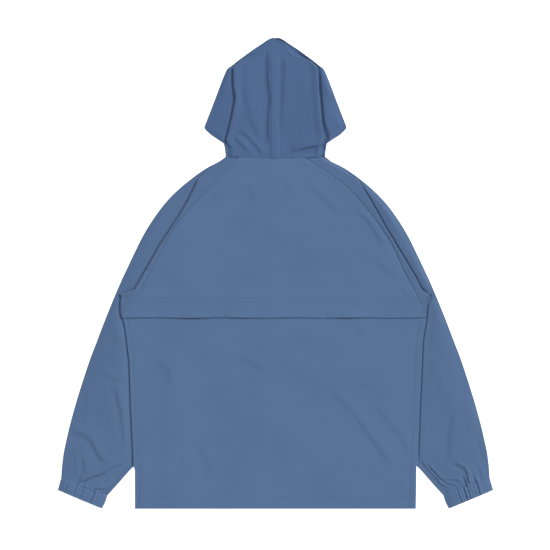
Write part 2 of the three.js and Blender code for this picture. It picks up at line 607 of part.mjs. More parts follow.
// Half of the hood: back part from the centre seam, turned under at its fold, out to the wing,
// and below the wing tips round to the front part, which ends at the face opening.
function hood(side) {
  const backColumns = 4;
  const wingColumns = 2;
  const frontColumns = 3;
  const belowNeck = [722, 708, 694, 682, 672, 664, 657.5];
  const grid = HOOD_FOLD.map(({ y, turn, depth, ...fold }) => {
    const foldX = fold[side];
    const seamX = (side === 'left' ? -CENTRE_SEAM_X : CENTRE_SEAM_X) + SEAM / 2;
    const low = FLOOR + (UNDER - FLOOR) * smoothstep((HOOD.underFrom - y) / HOOD.underRun);
    const fall = smoothstep((HOOD.top - y) / HOOD.topRun);
    const sides = low + (BACK - low) * fall;
    const rise = smoothstep((NECK_Y + HOOD.neckRun - y) / HOOD.neckRun);
    const edge = hoodEdge(y);
    const level = (x) => {
      const beside = smoothstep((Math.abs(x) - HOOD.sagHalf) / HOOD.sagRun);
      const sag = HOOD.sag * (1 - beside) * (1 - rise) * fall;
      const ridge = HOOD.ridge * bump(Math.abs(x - CENTRE_SEAM_X), HOOD.ridgeHalf) * fall;
      return sides - sag + ridge;
    };
    const middle = low + ((sides - low) * (TUCK - UNDER)) / (BACK - UNDER);
    const reach = Math.min(foldX * HOOD.foldShare, y - HOOD.foldsEnd);
    const run = foldRun({ top: sides, middle, low, turn, depth, reach });
    const place = (x, z) => new THREE.Vector3(x, y + (y === 734 ? neckSeam(x) - NECK_Y + SEAM / 2 : 0), z);
    const row = [];
    const runStart = foldX + run[0].s;
    const inner = [seamX, seamX + Math.min(9, (runStart - seamX) * 0.2)];
    const middleX = inner[1] + (runStart - inner[1]) * 0.3;
    for (const x of [...inner, middleX, inner[1] + (runStart - inner[1]) * 0.65]) {
      row.push(place(x, level(side === 'left' ? -x : x)));
    }
    run.forEach(({ s, z }) => row.push(place(foldX + s, z)));
    const belowTip = smoothstep((WING_RIM.top - y) / WING_RIM.run);
    const rim = low + WING_RIM.lift * belowTip * smoothstep((y - WING_RIM.bottom) / WING_RIM.run);
    const turned = edgeTurn(edge, rim, Math.max(low - PITCH, FLOOR));
    const from = row[row.length - 1].x;
    for (const share of between(0, 1, wingColumns + 1).slice(1)) {
      const x = THREE.MathUtils.lerp(from, turned[0].s, share);
      row.push(place(x, THREE.MathUtils.lerp(low, rim, share)));
    }
    turned.slice(1).forEach(({ s, z }) => row.push(place(s, z)));
    const under = row[row.length - 1].x;
    for (const x of between(under, Math.min(hoodOpening(y), under - 1), frontColumns + 1).slice(1)) {
      row.push(place(x, FLOOR + sliderLift(x, y)));
    }
    return row;
  });
  const neckRow = grid.length - 1;
  const frontStart = backColumns + 7 + wingColumns + 3;
  for (const y of belowNeck) {
    const row = grid[neckRow].slice(0, frontStart).map((p) => p.clone());
    const outer = frontNeck(y) - SEAM;
    for (const x of between(outer, hoodOpening(y), frontColumns + 1)) {
      row.push(new THREE.Vector3(x, y, FLOOR + sliderLift(x, y)));
    }
    grid.push(row);
  }
  const tipRow = HOOD_FOLD.findIndex(({ y }) => y <= WING_TIP_Y);
  const turnStart = backColumns + 7 + wingColumns;
  const present = (i, j) => {
    if (i >= neckRow) return j >= frontStart;
    return i >= tipRow || j < turnStart;
  };
  return clothWall(mirrored(grid, side), { present });
}

// ---- zip pieces ----

const zipHeights = between(ZIP_START_Y, SLIDER_Y + 10, 26);

function zipTape(side) {
  const grid = zipHeights.map((y) => between(TAPE_IN, TAPE_OUT, 3).map(
    (x) => new THREE.Vector3(x, y, ZIP_LEVEL + sliderLift(x, y)),
  ));
  return clothWall(mirrored(grid, side), { thickness: TAPE_WALL });
}

function zipChain() {
  const grid = between(ZIP_START_Y, SLIDER_Y, 26).map((y) => [-CHAIN_HALF, 0, CHAIN_HALF].map(
    (x) => new THREE.Vector3(x, y, ZIP_LEVEL + sliderLift(x, y)),
  ));
  return clothWall(grid, { thickness: CHAIN_WALL });
}

// Boolean solids for the hard pieces.
function solid(geometry) {
  const plain = geometry.clone();
  plain.deleteAttribute('normal');
  plain.deleteAttribute('uv');
  const merged = BufferGeometryUtils.mergeVertices(plain, 1e-4);
  return new wasm.Manifold(new wasm.Mesh({
    numProp: 3,
    vertProperties: Float32Array.from(merged.attributes.position.array),
    triVerts: Uint32Array.from(merged.index.array),
  }));
}

function geometryOf(manifold) {
  const { vertProperties, triVerts } = manifold.getMesh();
  const geometry = new THREE.BufferGeometry();
  geometry.setAttribute('position', new THREE.Float32BufferAttribute(vertProperties, 3));
  geometry.setIndex(Array.from(triVerts));
  geometry.computeVertexNormals();
  return geometry;
}

function block(width, length, height, x, y, z) {
  return solid(new THREE.BoxGeometry(width, length, height).translate(x, y, z));
}

// Heights of the slider's parts, counted from the middle of the chain.
const plateInner = CHAIN_WALL / 2 + SLIDER.clearance;
const plateOuter = plateInner + SLIDER.plate;
const pivotDrop = plateOuter + PULL.drop;

function plate(z) {
  const half = SLIDER.width / 2;
  const outline = new THREE.Shape();
  outline.moveTo(-half + 1.5, -SLIDER.length / 2);
  outline.lineTo(half - 1.5, -SLIDER.length / 2);
  outline.quadraticCurveTo(half, -1, half, SLIDER.length / 2 - 1.5);
  outline.lineTo(half - 1.5, SLIDER.length / 2);
  outline.lineTo(-half + 1.5, SLIDER.length / 2);
  outline.lineTo(-half, SLIDER.length / 2 - 1.5);
  outline.quadraticCurveTo(-half, -1, -half + 1.5, -SLIDER.length / 2);
  const options = { depth: SLIDER.plate, bevelEnabled: false, curveSegments: 5 };
  return solid(new THREE.ExtrudeGeometry(outline, options).translate(0, 0, z));
}

function zipSlider() {
  const postY = SLIDER.length / 2 - 2;
  const bridgeEnd = (BRIDGE.span - BRIDGE.post) / 2;
  const bridgeMiddle = -(plateOuter + BRIDGE.height / 2 + BRIDGE.bar / 2);
  const pieces = [
    plate(plateInner),
    plate(-plateOuter),
    block(SLIDER.post, 3, 2 * plateInner + 0.2, 0, postY, 0),
    block(BRIDGE.width, BRIDGE.span, BRIDGE.bar, 0, 0, -(plateOuter + BRIDGE.height + BRIDGE.bar / 2)),
    block(BRIDGE.width, BRIDGE.post, BRIDGE.height + BRIDGE.bar, 0, bridgeEnd, bridgeMiddle + 0.05),
    block(BRIDGE.width, BRIDGE.post, BRIDGE.height + BRIDGE.bar, 0, -bridgeEnd, bridgeMiddle + 0.05),
  ];
  return geometryOf(pieces.reduce((whole, piece) => whole.add(piece)));
}

// Pull tab: flat, with a window that lets it swing round the slider's bridge.
function zipPull() {
  const half = PULL.width / 2;
  const end = PULL.thickness / 2;
  const outline = new THREE.Shape();
  outline.moveTo(-half + 0.5, end);
  outline.lineTo(-half + 0.8, -PULL.length + 3);
  outline.quadraticCurveTo(-half + 1, -PULL.length, 0, -PULL.length);
  outline.quadraticCurveTo(half - 1, -PULL.length, half - 0.8, -PULL.length + 3);
  outline.lineTo(half - 0.5, end);
  outline.closePath();
  const window = new THREE.Path();
  window.moveTo(-PULL.eye / 2, -end);
  window.lineTo(PULL.eye / 2, -end);
  window.lineTo(PULL.eye / 2, -PULL.window);
  window.lineTo(-PULL.eye / 2, -PULL.window);
  window.closePath();
  outline.holes.push(window);
  const options = { depth: PULL.thickness, bevelEnabled: false, curveSegments: 6 };
  return new THREE.ExtrudeGeometry(outline, options).translate(0, 0, -PULL.thickness / 2);
}

function zipBox() {
  return new THREE.BoxGeometry(2 * ZIP_GAP - 0.8, ZIP_START_Y - 3, 2.4);
}

// ---- assembly ----

add('back_yoke', backYoke());
add('back_lower', backLower());
for (const side of ['left', 'right']) {
  add(`front_${side}`, front(side));
  add(`sleeve_${side}`, sleeve(side));
  add(`cuff_${side}`, cuff(side));
  add(`hood_${side}`, hood(side));
  add(`zip_tape_${side}`, zipTape(side), { color: 0x4d688f });
}
add('zip_chain', zipChain(), { color: 0x46608a, roughness: 0.5 });

const metal = { color: 0x6b7078, roughness: 0.35, metalness: 1 };
const chainAtSlider = ZIP_LEVEL + sliderLift(0, SLIDER_Y);
add('zip_slider', zipSlider(), metal).position.set(0, SLIDER_Y, chainAtSlider);
add('zip_pull', zipPull(), metal).position.set(0, SLIDER_Y, chainAtSlider - pivotDrop);
add('zip_box', zipBox(), metal).position.set(0, (ZIP_START_Y - 3) / 2 + 2, ZIP_LEVEL);

// The middle of the whole outline goes over the origin.
part.updateMatrixWorld(true);
const middle = new THREE.Box3().setFromObject(part).getCenter(new THREE.Vector3());
part.position.set(-middle.x, -middle.y, 0);

export default part;
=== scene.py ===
import math

import bpy
import numpy as np
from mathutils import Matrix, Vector
from mathutils.bvhtree import BVHTree


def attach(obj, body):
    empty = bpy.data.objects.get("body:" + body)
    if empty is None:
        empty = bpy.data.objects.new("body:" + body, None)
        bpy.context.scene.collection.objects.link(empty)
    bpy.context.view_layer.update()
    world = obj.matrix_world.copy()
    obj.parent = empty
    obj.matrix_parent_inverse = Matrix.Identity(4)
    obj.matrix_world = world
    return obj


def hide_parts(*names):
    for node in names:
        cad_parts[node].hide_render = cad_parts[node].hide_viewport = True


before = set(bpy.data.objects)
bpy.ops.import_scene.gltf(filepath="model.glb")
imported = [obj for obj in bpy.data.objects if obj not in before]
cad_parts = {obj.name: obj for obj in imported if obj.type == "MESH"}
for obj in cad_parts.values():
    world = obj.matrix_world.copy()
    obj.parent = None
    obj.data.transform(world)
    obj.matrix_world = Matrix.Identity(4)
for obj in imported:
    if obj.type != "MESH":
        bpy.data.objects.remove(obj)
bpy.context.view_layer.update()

# Millimetres below: x runs across the garment, y up from the hem, z up from the surface.
MIDDLE_Y = 494  # the frame's origin lies this far above the hem

# ---- layers and sizes ----

CLOTH = 0.9
WALL = 1.2
SEAM = 0.3
PITCH = WALL + SEAM
FLOOR = WALL / 2
UNDER = FLOOR + PITCH
TUCK = UNDER + PITCH
FRONT_OVER_SLEEVE = TUCK + 0.15
BACK = 5.6
FLAP = BACK + PITCH

CENTRE_SEAM_X = -2
NECK_Y = 734
NECK_RISE = 5
NECK_HALF = 104
FRONT_NECK_Y = 654
FLAP_EDGE_Y = 401
FLAP_SEAM_Y = 442
UNDERARM_Y = 446
BACK_LOWER_TOP_Y = 438  # the lower back ends here, under the flap
RAGLAN_END_Y = 411
SIDE_SEAM_IN = {"left": 8, "right": 15}
SLEEVE_LOFT = {"left": 4.5, "right": 3}
LOFT_SHIFT = {"left": 0.6, "right": 1.5}  # below 1 the loft is highest towards the body
PLEAT_LIFT = {"left": 3.2, "right": 1.2}
# Beside a fold the cloth under it stands up again: where that starts, over what run, how high.
PLEAT_SLIT = {"left": (3, 10, 0), "right": (1, 4, 2.8)}
SIDE_SLIT = {"left": (2, 5, 1.2), "right": (0.8, 3, 2.4)}
WING_LIFT = {"left": 0.9, "right": 2.1}
WING_RISE = {"left": np.ones_like, "right": np.square}  # level, or higher towards the edge
WING_SLIT = {"left": (3, 5, 1.6), "right": (2, 5, 3.6)}
HOOD_FOLD_LIFT = 2.6
CUFF_LOFT = 3.2
ZIP_GAP = 5.5
TAPE_IN = 3.2
TAPE_OUT = 16
ZIP_LEVEL = 2
ZIP_START_Y = 13
SLIDER_Y = 640
# the slider holds up the fronts: how far, and over what reach across and along
SLIDER_LIFT, SLIDER_REACH_X, SLIDER_REACH_Y = 2.7, 90, 130
BACK_LIFT, BACK_REACH = 2.3, 115  # and the back above them
BARTACKS = (-107, 108)
TACK_REACH = 7  # a bartack holds the flap down this far to each side
SEAM_HALF = 1.4  # half width of the groove at a seam
STITCH_DIP = 0.3  # stitches draw the cloth in this deep
STITCH_HALF = 0.8
BESIDE_STITCHES = (-1.6, -0.8, 0, 0.8, 1.6)  # rows of points beside a row of stitches
HEM_CLOTH = 1.4  # turned hems
CUFF_CLOTH = 1.1
TAPE_CLOTH = 0.8
LEAST_HEIGHT = 0.02  # nothing goes below this, just above the surface
FLAP_STITCHES = (433, 441)
HEM_STITCHES = (17, 23)
SIDES = ("left", "right")
SIGN = {"left": -1, "right": 1}

HOOD_EDGE = [
    (988, 5), (987, 10), (985, 15), (980, 22.5), (972, 35), (960, 53), (945, 73), (931, 91), (921, 103.5),
    (910, 108), (895, 114), (875, 121.5), (855, 129), (835, 136.5), (815, 144.5), (805, 148.5),
    (800, 149.5), (795, 147.5), (784, 133.5), (774, 119.5), (768, 110.8), (765, 108), (755, 106.3),
    (742, 104.5),
]
# y, left, right, turn, depth
HOOD_FOLD = [
    (988, 2, 2, 0, 0), (987, 6, 6, 0, 0), (985, 10, 10, 0, 0), (977, 22, 22, 0, 0), (965, 36, 36, 0, 0),
    (950, 56, 56, 0, 0), (939, 72, 72, 30, 0), (932, 81, 81, 70, 0), (928, 86, 86, 120, 0),
    (924, 89, 89, 180, 2), (910, 89, 90, 180, 9), (885, 88, 91, 180, 16), (862, 85, 93, 180, 19),
    (838, 89, 95, 180, 20), (814, 94, 97, 180, 17), (801, 97, 99, 180, 13),
    (788, 100, 101, 180, 8), (776, 104, 103, 180, 3), (771, 103.5, 103, 120, 0),
    (766, 101, 101, 70, 0), (758, 93, 93, 25, 0), (748, 91, 91, 20, 0), (734, 91, 91, 20, 0),
]
HOOD_OPENING = [
    (800, 140), (788, 122), (771, 98), (748, 70), (720, 45), (690, 23), (670, 12), (656, 8),
]
FRONT_NECK = [
    (742, 105), (725, 93), (708, 82), (691, 70), (680, 58), (670, 44), (662, 29), (656, 13),
    (654, 5),
]
SLEEVE_EDGE = [
    (742, 105), (738, 106), (732, 112), (721, 134), (711, 151), (690, 180), (669, 205),
    (648, 226), (627, 243), (606, 258), (564, 283), (522, 303), (480, 323), (438, 341),
    (396, 358), (354, 374), (312, 390), (270, 404), (228, 417), (186, 429), (144, 439),
    (102, 447), (64, 450),
]
# y, left, right
RAGLAN = [
    (736, 80, 62), (724, 90, 80), (696, 116, 122), (669, 143, 155), (620, 189, 198),
    (581, 219, 227), (550, 236, 246), (520, 252, 259), (490, 267, 273), (463, 281, 288),
    (438, 297, 300), (411, 316, 312),
]
FRONT_RAGLAN = [
    (691, 71), (660, 103), (620, 145), (580, 185), (540, 223), (500, 260), (470, 288),
    (455, 306), (447, 319),
]
# y, left, right, tilt, turn, depth
SLEEVE_PLEAT = [
    (737, 99, 96, 4, 25, 0), (727, 110, 108, 18, 22, 0), (713, 132, 134, 26, 22, 0),
    (703, 148, 150, 28, 35, 0), (697, 157, 162, 30, 80, 0), (692, 162, 172, 30, 130, 0),
    (686, 165, 176, 30, 180, 2), (665, 175, 188, 30, 180, 9), (631, 193, 208, 30, 180, 17),
    (595, 216, 228, 30, 180, 21), (555, 242, 252, 30, 180, 22), (520, 262, 273, 30, 180, 19),
    (485, 282, 294, 30, 180, 12), (466, 293, 303.5, 30, 180, 6), (460, 297, 307.5, 30, 180, 3),
    (457, 304, 310.5, 30, 180, 2), (454, 312, 313.5, 30, 150, 0), (451.5, 318, 316.5, 30, 100, 0),
    (449.5, 322, 319, 30, 60, 0), (448, 324.5, 321, 30, 30, 0),
]
# heights of the outer and inner ends, and of the tip's raglan seam and side end
LOWER_SLEEVE = [
    (448, 437, 424, 432), (438, 416, 411.2, 411.2), (424, 385, 0, 0), (405, 350, 0, 0),
    (380, 310, 0, 0), (350, 272, 0, 0), (315, 235, 0, 0), (280, 200, 0, 0), (245, 167, 0, 0),
    (210, 137, 0, 0), (175, 113, 0, 0), (145, 93, 0, 0), (118, 73, 0, 0), (90, 50, 0, 0),
    (64, 27, 0, 0),
]
SLEEVE_INNER = [
    (446, 325), (437, 319), (416, 304), (385, 272), (350, 243), (310, 218), (272, 208),
    (235, 209), (200, 217), (167, 231), (137, 249), (113, 269), (93, 293), (73, 312), (50, 332),
    (27, 353),
]
BODY_SIDE = [
    (446, 325, 319), (415, 325, 318), (400, 321, 317), (381, 316, 314), (348, 312, 309),
    (303, 307, 307), (213, 304, 303), (133, 300, 300), (100, 299, 299), (89, 298, 296),
    (81, 295, 296), (0, 295, 295),
]
# outer x, y and inner x, y of the cuff's seam, middle and hem
CUFF = [((449.4, 65.6), (352.2, 28.6)), ((453.5, 52), (357, 14)), ((457, 39), (364, 0))]


# ---- curves ----

def smoothstep(value):
    value = np.clip(value, 0, 1)
    return value * value * (3 - 2 * value)


def bump(distance, reach):
    """From 1 at no distance to 0 at the reach and beyond, round at both ends."""
    return np.where(distance < reach, np.cos(np.pi / 2 * np.minimum(distance / reach, 1)) ** 2, 0)


def bell(distance, width):
    """From 1 at no distance, down to a third at the width."""
    return np.exp(-((distance / width) ** 2))


def smooth(knots, values, at):
    """Monotone cubic through the values, along their first axis."""
    knots, values = np.asarray(knots, float), np.asarray(values, float)
    order = np.argsort(knots)
    knots, values = knots[order], values[order]
    tail = (1,) * (values.ndim - 1)
    span = np.diff(knots)
    secant = np.diff(values, axis=0) / span.reshape((-1,) + tail)
    before = np.concatenate([secant[:1], secant])
    after = np.concatenate([secant, secant[-1:]])
    even = before * after > 0
    slope = np.where(even, 2 * before * after / np.where(even, before + after, 1), 0)
    at = np.clip(np.asarray(at, float), knots[0], knots[-1])
    i = np.clip(np.searchsorted(knots, at, side="right") - 1, 0, len(knots) - 2)
    t = ((at - knots[i]) / span[i]).reshape(at.shape + tail)
    width = span[i].reshape(at.shape + tail)
    rise = values[i + 1] - values[i]
    leave = t * (1 - t) ** 2 * width * slope[i]
    arrive = t * t * (1 - t) * width * slope[i + 1]
    return values[i] + rise * t * t * (3 - 2 * t) + leave - arrive


def curve(table, column=1):
    """A table's column as a smooth function of its first one."""
    knots = [row[0] for row in table]
    values = [row[column] for row in table]
    return lambda y: smooth(knots, values, y)


def moved(edge, distance):
    """The edge x(y), moved square to itself, away from the centre line."""
    return lambda y: edge(y) + distance * np.hypot(1, (edge(y + 1) - edge(y - 1)) / 2)


hood_edge = curve(HOOD_EDGE)
hood_opening = curve(HOOD_OPENING)
front_neck = curve(FRONT_NECK)
sleeve_edge = curve(SLEEVE_EDGE)
front_raglan = curve(FRONT_RAGLAN)
sleeve_inner = curve(SLEEVE_INNER)
raglan = {"left": curve(RAGLAN, 1), "right": curve(RAGLAN, 2)}
yoke_seam = {side: moved(raglan[side], -0.1) for side in SIDES}
sleeve_seam = {side: moved(raglan[side], 0.1) for side in SIDES}
front_seam = moved(front_raglan, -0.1)
body_side = {"left": curve(BODY_SIDE, 1), "right": curve(BODY_SIDE, 2)}


def neck_seam(x):
    """Height of the back's neck seam, which rises to both shoulders."""
    return NECK_Y + NECK_RISE * (x / NECK_HALF) ** 2


def slider_lift(x, y):
    """How far the slider and its pull hold the fronts off the surface."""
    return SLIDER_LIFT * bump(np.abs(y - SLIDER_Y), SLIDER_REACH_Y) * bump(np.abs(x), SLIDER_REACH_X)


def back_level(x, y):
    """Height of the back: lower above the flap seam, and lifted over the slider."""
    step = (FLAP - BACK) * smoothstep((FLAP_SEAM_Y + 26 - y) / 24)
    return BACK + step + BACK_LIFT * bump(np.hypot(x, y - SLIDER_Y), BACK_REACH)


def front_level(x, y):
    """Height of a front, which rises over the sleeve tucked under its side."""
    over = smoothstep((x - sleeve_inner(y) + 24) / 20)
    below = smoothstep((456 - y) / 12) * smoothstep((y - 58) / 24)
    return FLOOR + (FRONT_OVER_SLEEVE - FLOOR) * over * below + slider_lift(x, y)


# ---- creases ----

def beside(path, x, y):
    """Signed distance from a path, positive to its left, and how far along it that lies."""
    path = np.array(path, float)
    if len(path) > 2:
        path = smooth(np.arange(len(path)), path, np.linspace(0, len(path) - 1, 6 * len(path)))
    starts, ends = path[:-1], path[1:]
    lengths = np.hypot(*(ends - starts).T)
    along = np.concatenate([[0], np.cumsum(lengths)])
    best = np.full(x.shape, 1e9)
    signed = np.zeros_like(x)
    share = np.zeros_like(x)
    for start, end, length, before in zip(starts, ends, lengths, along):
        ux, uy = (end - start) / length
        t = np.clip((x - start[0]) * ux + (y - start[1]) * uy, 0, length)
        dx, dy = x - start[0] - t * ux, y - start[1] - t * uy
        distance = np.hypot(dx, dy)
        closer = distance < best
        best = np.where(closer, distance, best)
        side = np.where(ux * dy - uy * dx >= 0, 1, -1)
        signed = np.where(closer, side * distance, signed)
        share = np.where(closer, (before + t) / along[-1], share)
    return signed, share


def near(path, x, y, reach):
    """Which places lie in the box round a path."""
    path = np.array(path, float)
    low, high = path.min(axis=0) - reach, path.max(axis=0) + reach
    return (x > low[0]) & (x < high[0]) & (y > low[1]) & (y < high[1])


def faded(share, fade):
    """Fading at a path's two ends, over the shares of it that fade gives."""
    return smoothstep(share / max(fade[0], 1e-6)) * smoothstep((1 - share) / max(fade[1], 1e-6))


def crease_field(x, y, creases):
    """Height that soft ridges and troughs add. A crease is its path, half width and height, how
    far its left side goes the other way, and how much of each end fades out."""
    x, y = np.asarray(x, float), np.asarray(y, float)
    total = np.zeros_like(x)
    for path, width, height, lean, fade in creases:
        spot = near(path, x, y, 5 * width)
        signed, share = beside(path, x[spot], y[spot])
        body = bell(signed, width)
        other = bell(signed - 1.8 * width, 1.4 * width)
        total[spot] += height * faded(share, fade) * (body - lean * other)
    return total


def fold_field(x, y, folds):
    """Height of soft folds: to the left of its path the cloth stands up, to the right it sinks,
    and both come back slowly. A fold is its path, half width, height, reach and fading ends."""
    x, y = np.asarray(x, float), np.asarray(y, float)
    total = np.zeros_like(x)
    for path, width, height, reach, fade in folds:
        spot = near(path, x, y, 3 * reach)
        signed, share = beside(path, x[spot], y[spot])
        step = 0.5 * np.tanh(signed / width) * bell(signed, reach)
        total[spot] += height * faded(share, fade) * step
    return total


def undulation(x, y, seed, wavelength, height, count=8):
    """Slow uneven waves in all directions."""
    rng = np.random.default_rng(seed)
    total = np.zeros_like(np.asarray(x, float))
    for _ in range(count):
        heading = rng.uniform(0, 2 * math.pi)
        length = wavelength * rng.uniform(0.7, 1.5)
        phase = rng.uniform(0, 2 * math.pi)
        total += np.sin(2 * math.pi * (x * math.cos(heading) + y * math.sin(heading)) / length + phase)
    return height * total / math.sqrt(count)


def pucker(along, distance, seed, height, reach=7):
    """Small uneven waves that a row of stitches draws into the cloth beside it."""
    rng = np.random.default_rng(seed)
    wave = np.zeros_like(np.asarray(along, float))
    for length in (9, 14, 23, 37):
        wave += np.sin(2 * math.pi * along / (length * rng.uniform(0.9, 1.1)) + rng.uniform(0, 6.3))
    return height * wave / 2 * bell(distance, reach)


YOKE_FOLDS = [
    ([(51, 679), (83, 665), (104, 648), (119, 631), (140, 623)], 5, 2.0, 24, (0.3, 0.2)),
    ([(161, 621), (188, 608), (203, 589), (219, 564), (236, 547)], 4, 2.2, 18, (0.2, 0.3)),
    ([(203, 526), (219, 509), (240, 497), (261, 488)], 3.5, 1.5, 14, (0.3, 0.3)),
    ([(-131, 644), (-106, 654), (-85, 665), (-64, 677), (-43, 684)], 5, 2.1, 22, (0.2, 0.3)),
    ([(-54, 684), (-50, 660), (-47, 632)], 7, 1.2, 24, (0.3, 0.4)),
    ([(14, 694), (30, 669), (37, 645)], 4, 1.0, 18, (0.3, 0.4)),
    ([(-112, 707), (-91, 717), (-68, 722)], 3.5, 1.7, 10, (0.3, 0.4)),
    ([(38, 725), (72, 719), (100, 716)], 3, 1.4, 10, (0.4, 0.2)),
    ([(258, 468), (274, 452), (290, 436)], 3.5, 1.4, 10, (0.3, 0.3)),
    ([(-210, 455), (-190, 452), (-172, 453)], 3.5, 0.8, 12, (0.4, 0.4)),
]
YOKE_CREASES = [
    ([(-60, 520), (-20, 505), (30, 508)], 22, 0.7, 0.0, (0.5, 0.5)),
    ([(-210, 520), (-160, 480), (-100, 470)], 24, 0.6, 0.2, (0.5, 0.5)),
    ([(120, 560), (160, 500), (190, 455)], 18, 0.6, 0.3, (0.5, 0.5)),
    ([(20, 610), (60, 570), (120, 540)], 26, 0.7, 0.2, (0.5, 0.5)),
]
LOWER_FOLDS = [
    ([(106, 253), (125, 236), (152, 211), (177, 177), (203, 144), (226, 112), (247, 83)],
     4.5, 2.8, 20, (0.15, 0.15)),
    ([(146, 280), (177, 261), (215, 249)], 5, 1.2, 20, (0.4, 0.4)),
    ([(198, 232), (230, 190), (251, 165), (272, 133), (281, 91)], 4, 1.5, 16, (0.3, 0.3)),
    ([(-89, 318), (-64, 308), (-37, 295), (-12, 274)], 4.5, 1.7, 20, (0.2, 0.4)),
    ([(-297, 339), (-280, 340), (-264, 337)], 3, 1.2, 12, (0.2, 0.3)),
    ([(-253, 310), (-232, 299), (-224, 278), (-219, 250)], 3.5, 1.8, 14, (0.2, 0.3)),
    ([(-180, 154), (-165, 133), (-152, 112), (-138, 81), (-131, 56)], 4, 1.2, 16, (0.3, 0.3)),
    ([(-206, 105), (-188, 84), (-172, 64)], 4, 1.0, 14, (0.3, 0.3)),
    ([(-240, 330), (-238, 200), (-240, 40)], 16, 2.4, 60, (0.3, 0.2)),
    ([(167, 392), (178, 368), (184, 340)], 4, 0.9, 14, (0.1, 0.5)),
    ([(60, 345), (66, 330), (64, 315)], 3, 0.8, 12, (0.3, 0.4)),
]
LOWER_CREASES = [
    ([(277, 128), (283, 75), (284, 16)], 5, -0.5, 0.6, (0.4, 0.1)),
    ([(-286, 205), (-287, 110), (-286, 30)], 5, -0.4, 0.5, (0.5, 0.2)),
    ([(-60, 210), (10, 170), (60, 110)], 24, 0.8, 0.3, (0.5, 0.5)),
    ([(40, 370), (110, 355), (180, 350)], 18, 0.6, 0.3, (0.5, 0.5)),
]
HOOD_FOLDS = [
    ([(-16, 978), (-17, 940), (-17, 905), (-13, 860), (-16, 820), (-16, 780), (-12, 750)],
     3.4, 5.4, 15, (0.1, 0.2)),
    ([(13, 970), (17, 930), (16, 890), (15, 860), (12, 820), (9, 780)], 4, 2.9, 24, (0.2, 0.3)),
    ([(-89, 781), (-76, 768), (-62, 753), (-54, 745)], 2.2, 2.5, 9, (0.2, 0.3)),
    ([(-86, 794), (-64, 784), (-43, 763), (-28, 742)], 2.8, 3.1, 9, (0.3, 0.15)),
    ([(-70, 894), (-60, 847), (-47, 805), (-28, 763)], 5, 2.2, 20, (0.3, 0.2)),
    ([(35, 742), (51, 753), (72, 758), (104, 762)], 2.0, 8.4, 16, (0.25, 0.02)),
    ([(110, 889), (125, 858), (129, 826), (123, 805)], 3, 1.6, 12, (0.3, 0.4)),
    ([(62, 856), (70, 830), (72, 800)], 6, 0.9, 20, (0.4, 0.4)),
]
HOOD_CREASES = [
    ([(-40, 940), (-66, 905), (-74, 880)], 12, 0.6, 0.3, (0.5, 0.5)),
    ([(42, 930), (66, 905), (80, 880)], 12, 0.5, 0.3, (0.5, 0.5)),
    ([(-98, 885), (-108, 860), (-116, 830)], 7, 0.6, 0.4, (0.4, 0.4)),
]
# folds above the cuffs that are also sharp creases
LEFT_CUFF_FOLD = [(-384, 40), (-362, 41), (-348, 45), (-331, 60), (-313, 80)]
LONG_CUFF_FOLD = [(301, 104), (320, 81), (339, 60), (348, 49), (368, 42)]
OUTER_CUFF_FOLD = [(312, 100), (333, 76), (346, 62), (362, 52), (386, 46)]
SHORT_CUFF_FOLD = [(346, 62), (362, 60), (384, 58), (392, 50)]
SLEEVE_FOLDS = {
    "left": [
        ([(-431, 163), (-406, 154), (-390, 144), (-377, 121), (-366, 104), (-348, 98)],
         3.2, 3.6, 14, (0.1, 0.2)),
        ([(-406, 112), (-402, 91), (-398, 68)], 2.6, 2.0, 10, (0.2, 0.2)),
        ([(-412, 53), (-383, 66), (-358, 75), (-337, 89), (-312, 96)], 1.3, 6.0, 10, (0.1, 0.4)),
        (LEFT_CUFF_FOLD, 1.3, 4.2, 7, (0.15, 0.2)),
        ([(-375, 291), (-348, 277), (-331, 270), (-311, 271)], 3.2, 2.0, 12, (0.3, 0.1)),
        ([(-338, 262), (-331, 228), (-324, 196), (-321, 169), (-316, 133)], 3.6, 2.9, 11, (0.2, 0.2)),
        ([(-312, 259), (-311, 228)], 3, 1.4, 8, (0.3, 0.3)),
        ([(-424, 120), (-420, 96), (-424, 74)], 3, 1.4, 10, (0.3, 0.2)),
    ],
    "right": [
        ([(369, 97), (387, 89), (398, 81), (402, 68), (406, 52)], 2.2, 3.8, 9, (0.2, 0.1)),
        ([(375, 213), (371, 186), (366, 154), (364, 123), (361, 88)], 5, 2.5, 18, (0.25, 0.3)),
        ([(424, 148), (433, 124), (436, 104)], 4, 1.6, 10, (0.3, 0.3)),
        (LONG_CUFF_FOLD, 1.6, 2.9, 6, (0.1, 0.2)),
        (OUTER_CUFF_FOLD, 2, 2.5, 6, (0.2, 0.2)),
        ([(394, 72), (399, 58), (403, 42)], 1.6, 4.2, 7, (0.3, 0.1)),
        ([(416, 72), (420, 58), (426, 45)], 1.8, 2.7, 7, (0.3, 0.1)),
        (SHORT_CUFF_FOLD, 1.6, 2.3, 5, (0.2, 0.3)),
        ([(424, 92), (430, 78), (432, 62)], 2, 2.0, 7, (0.3, 0.2)),
    ],
}
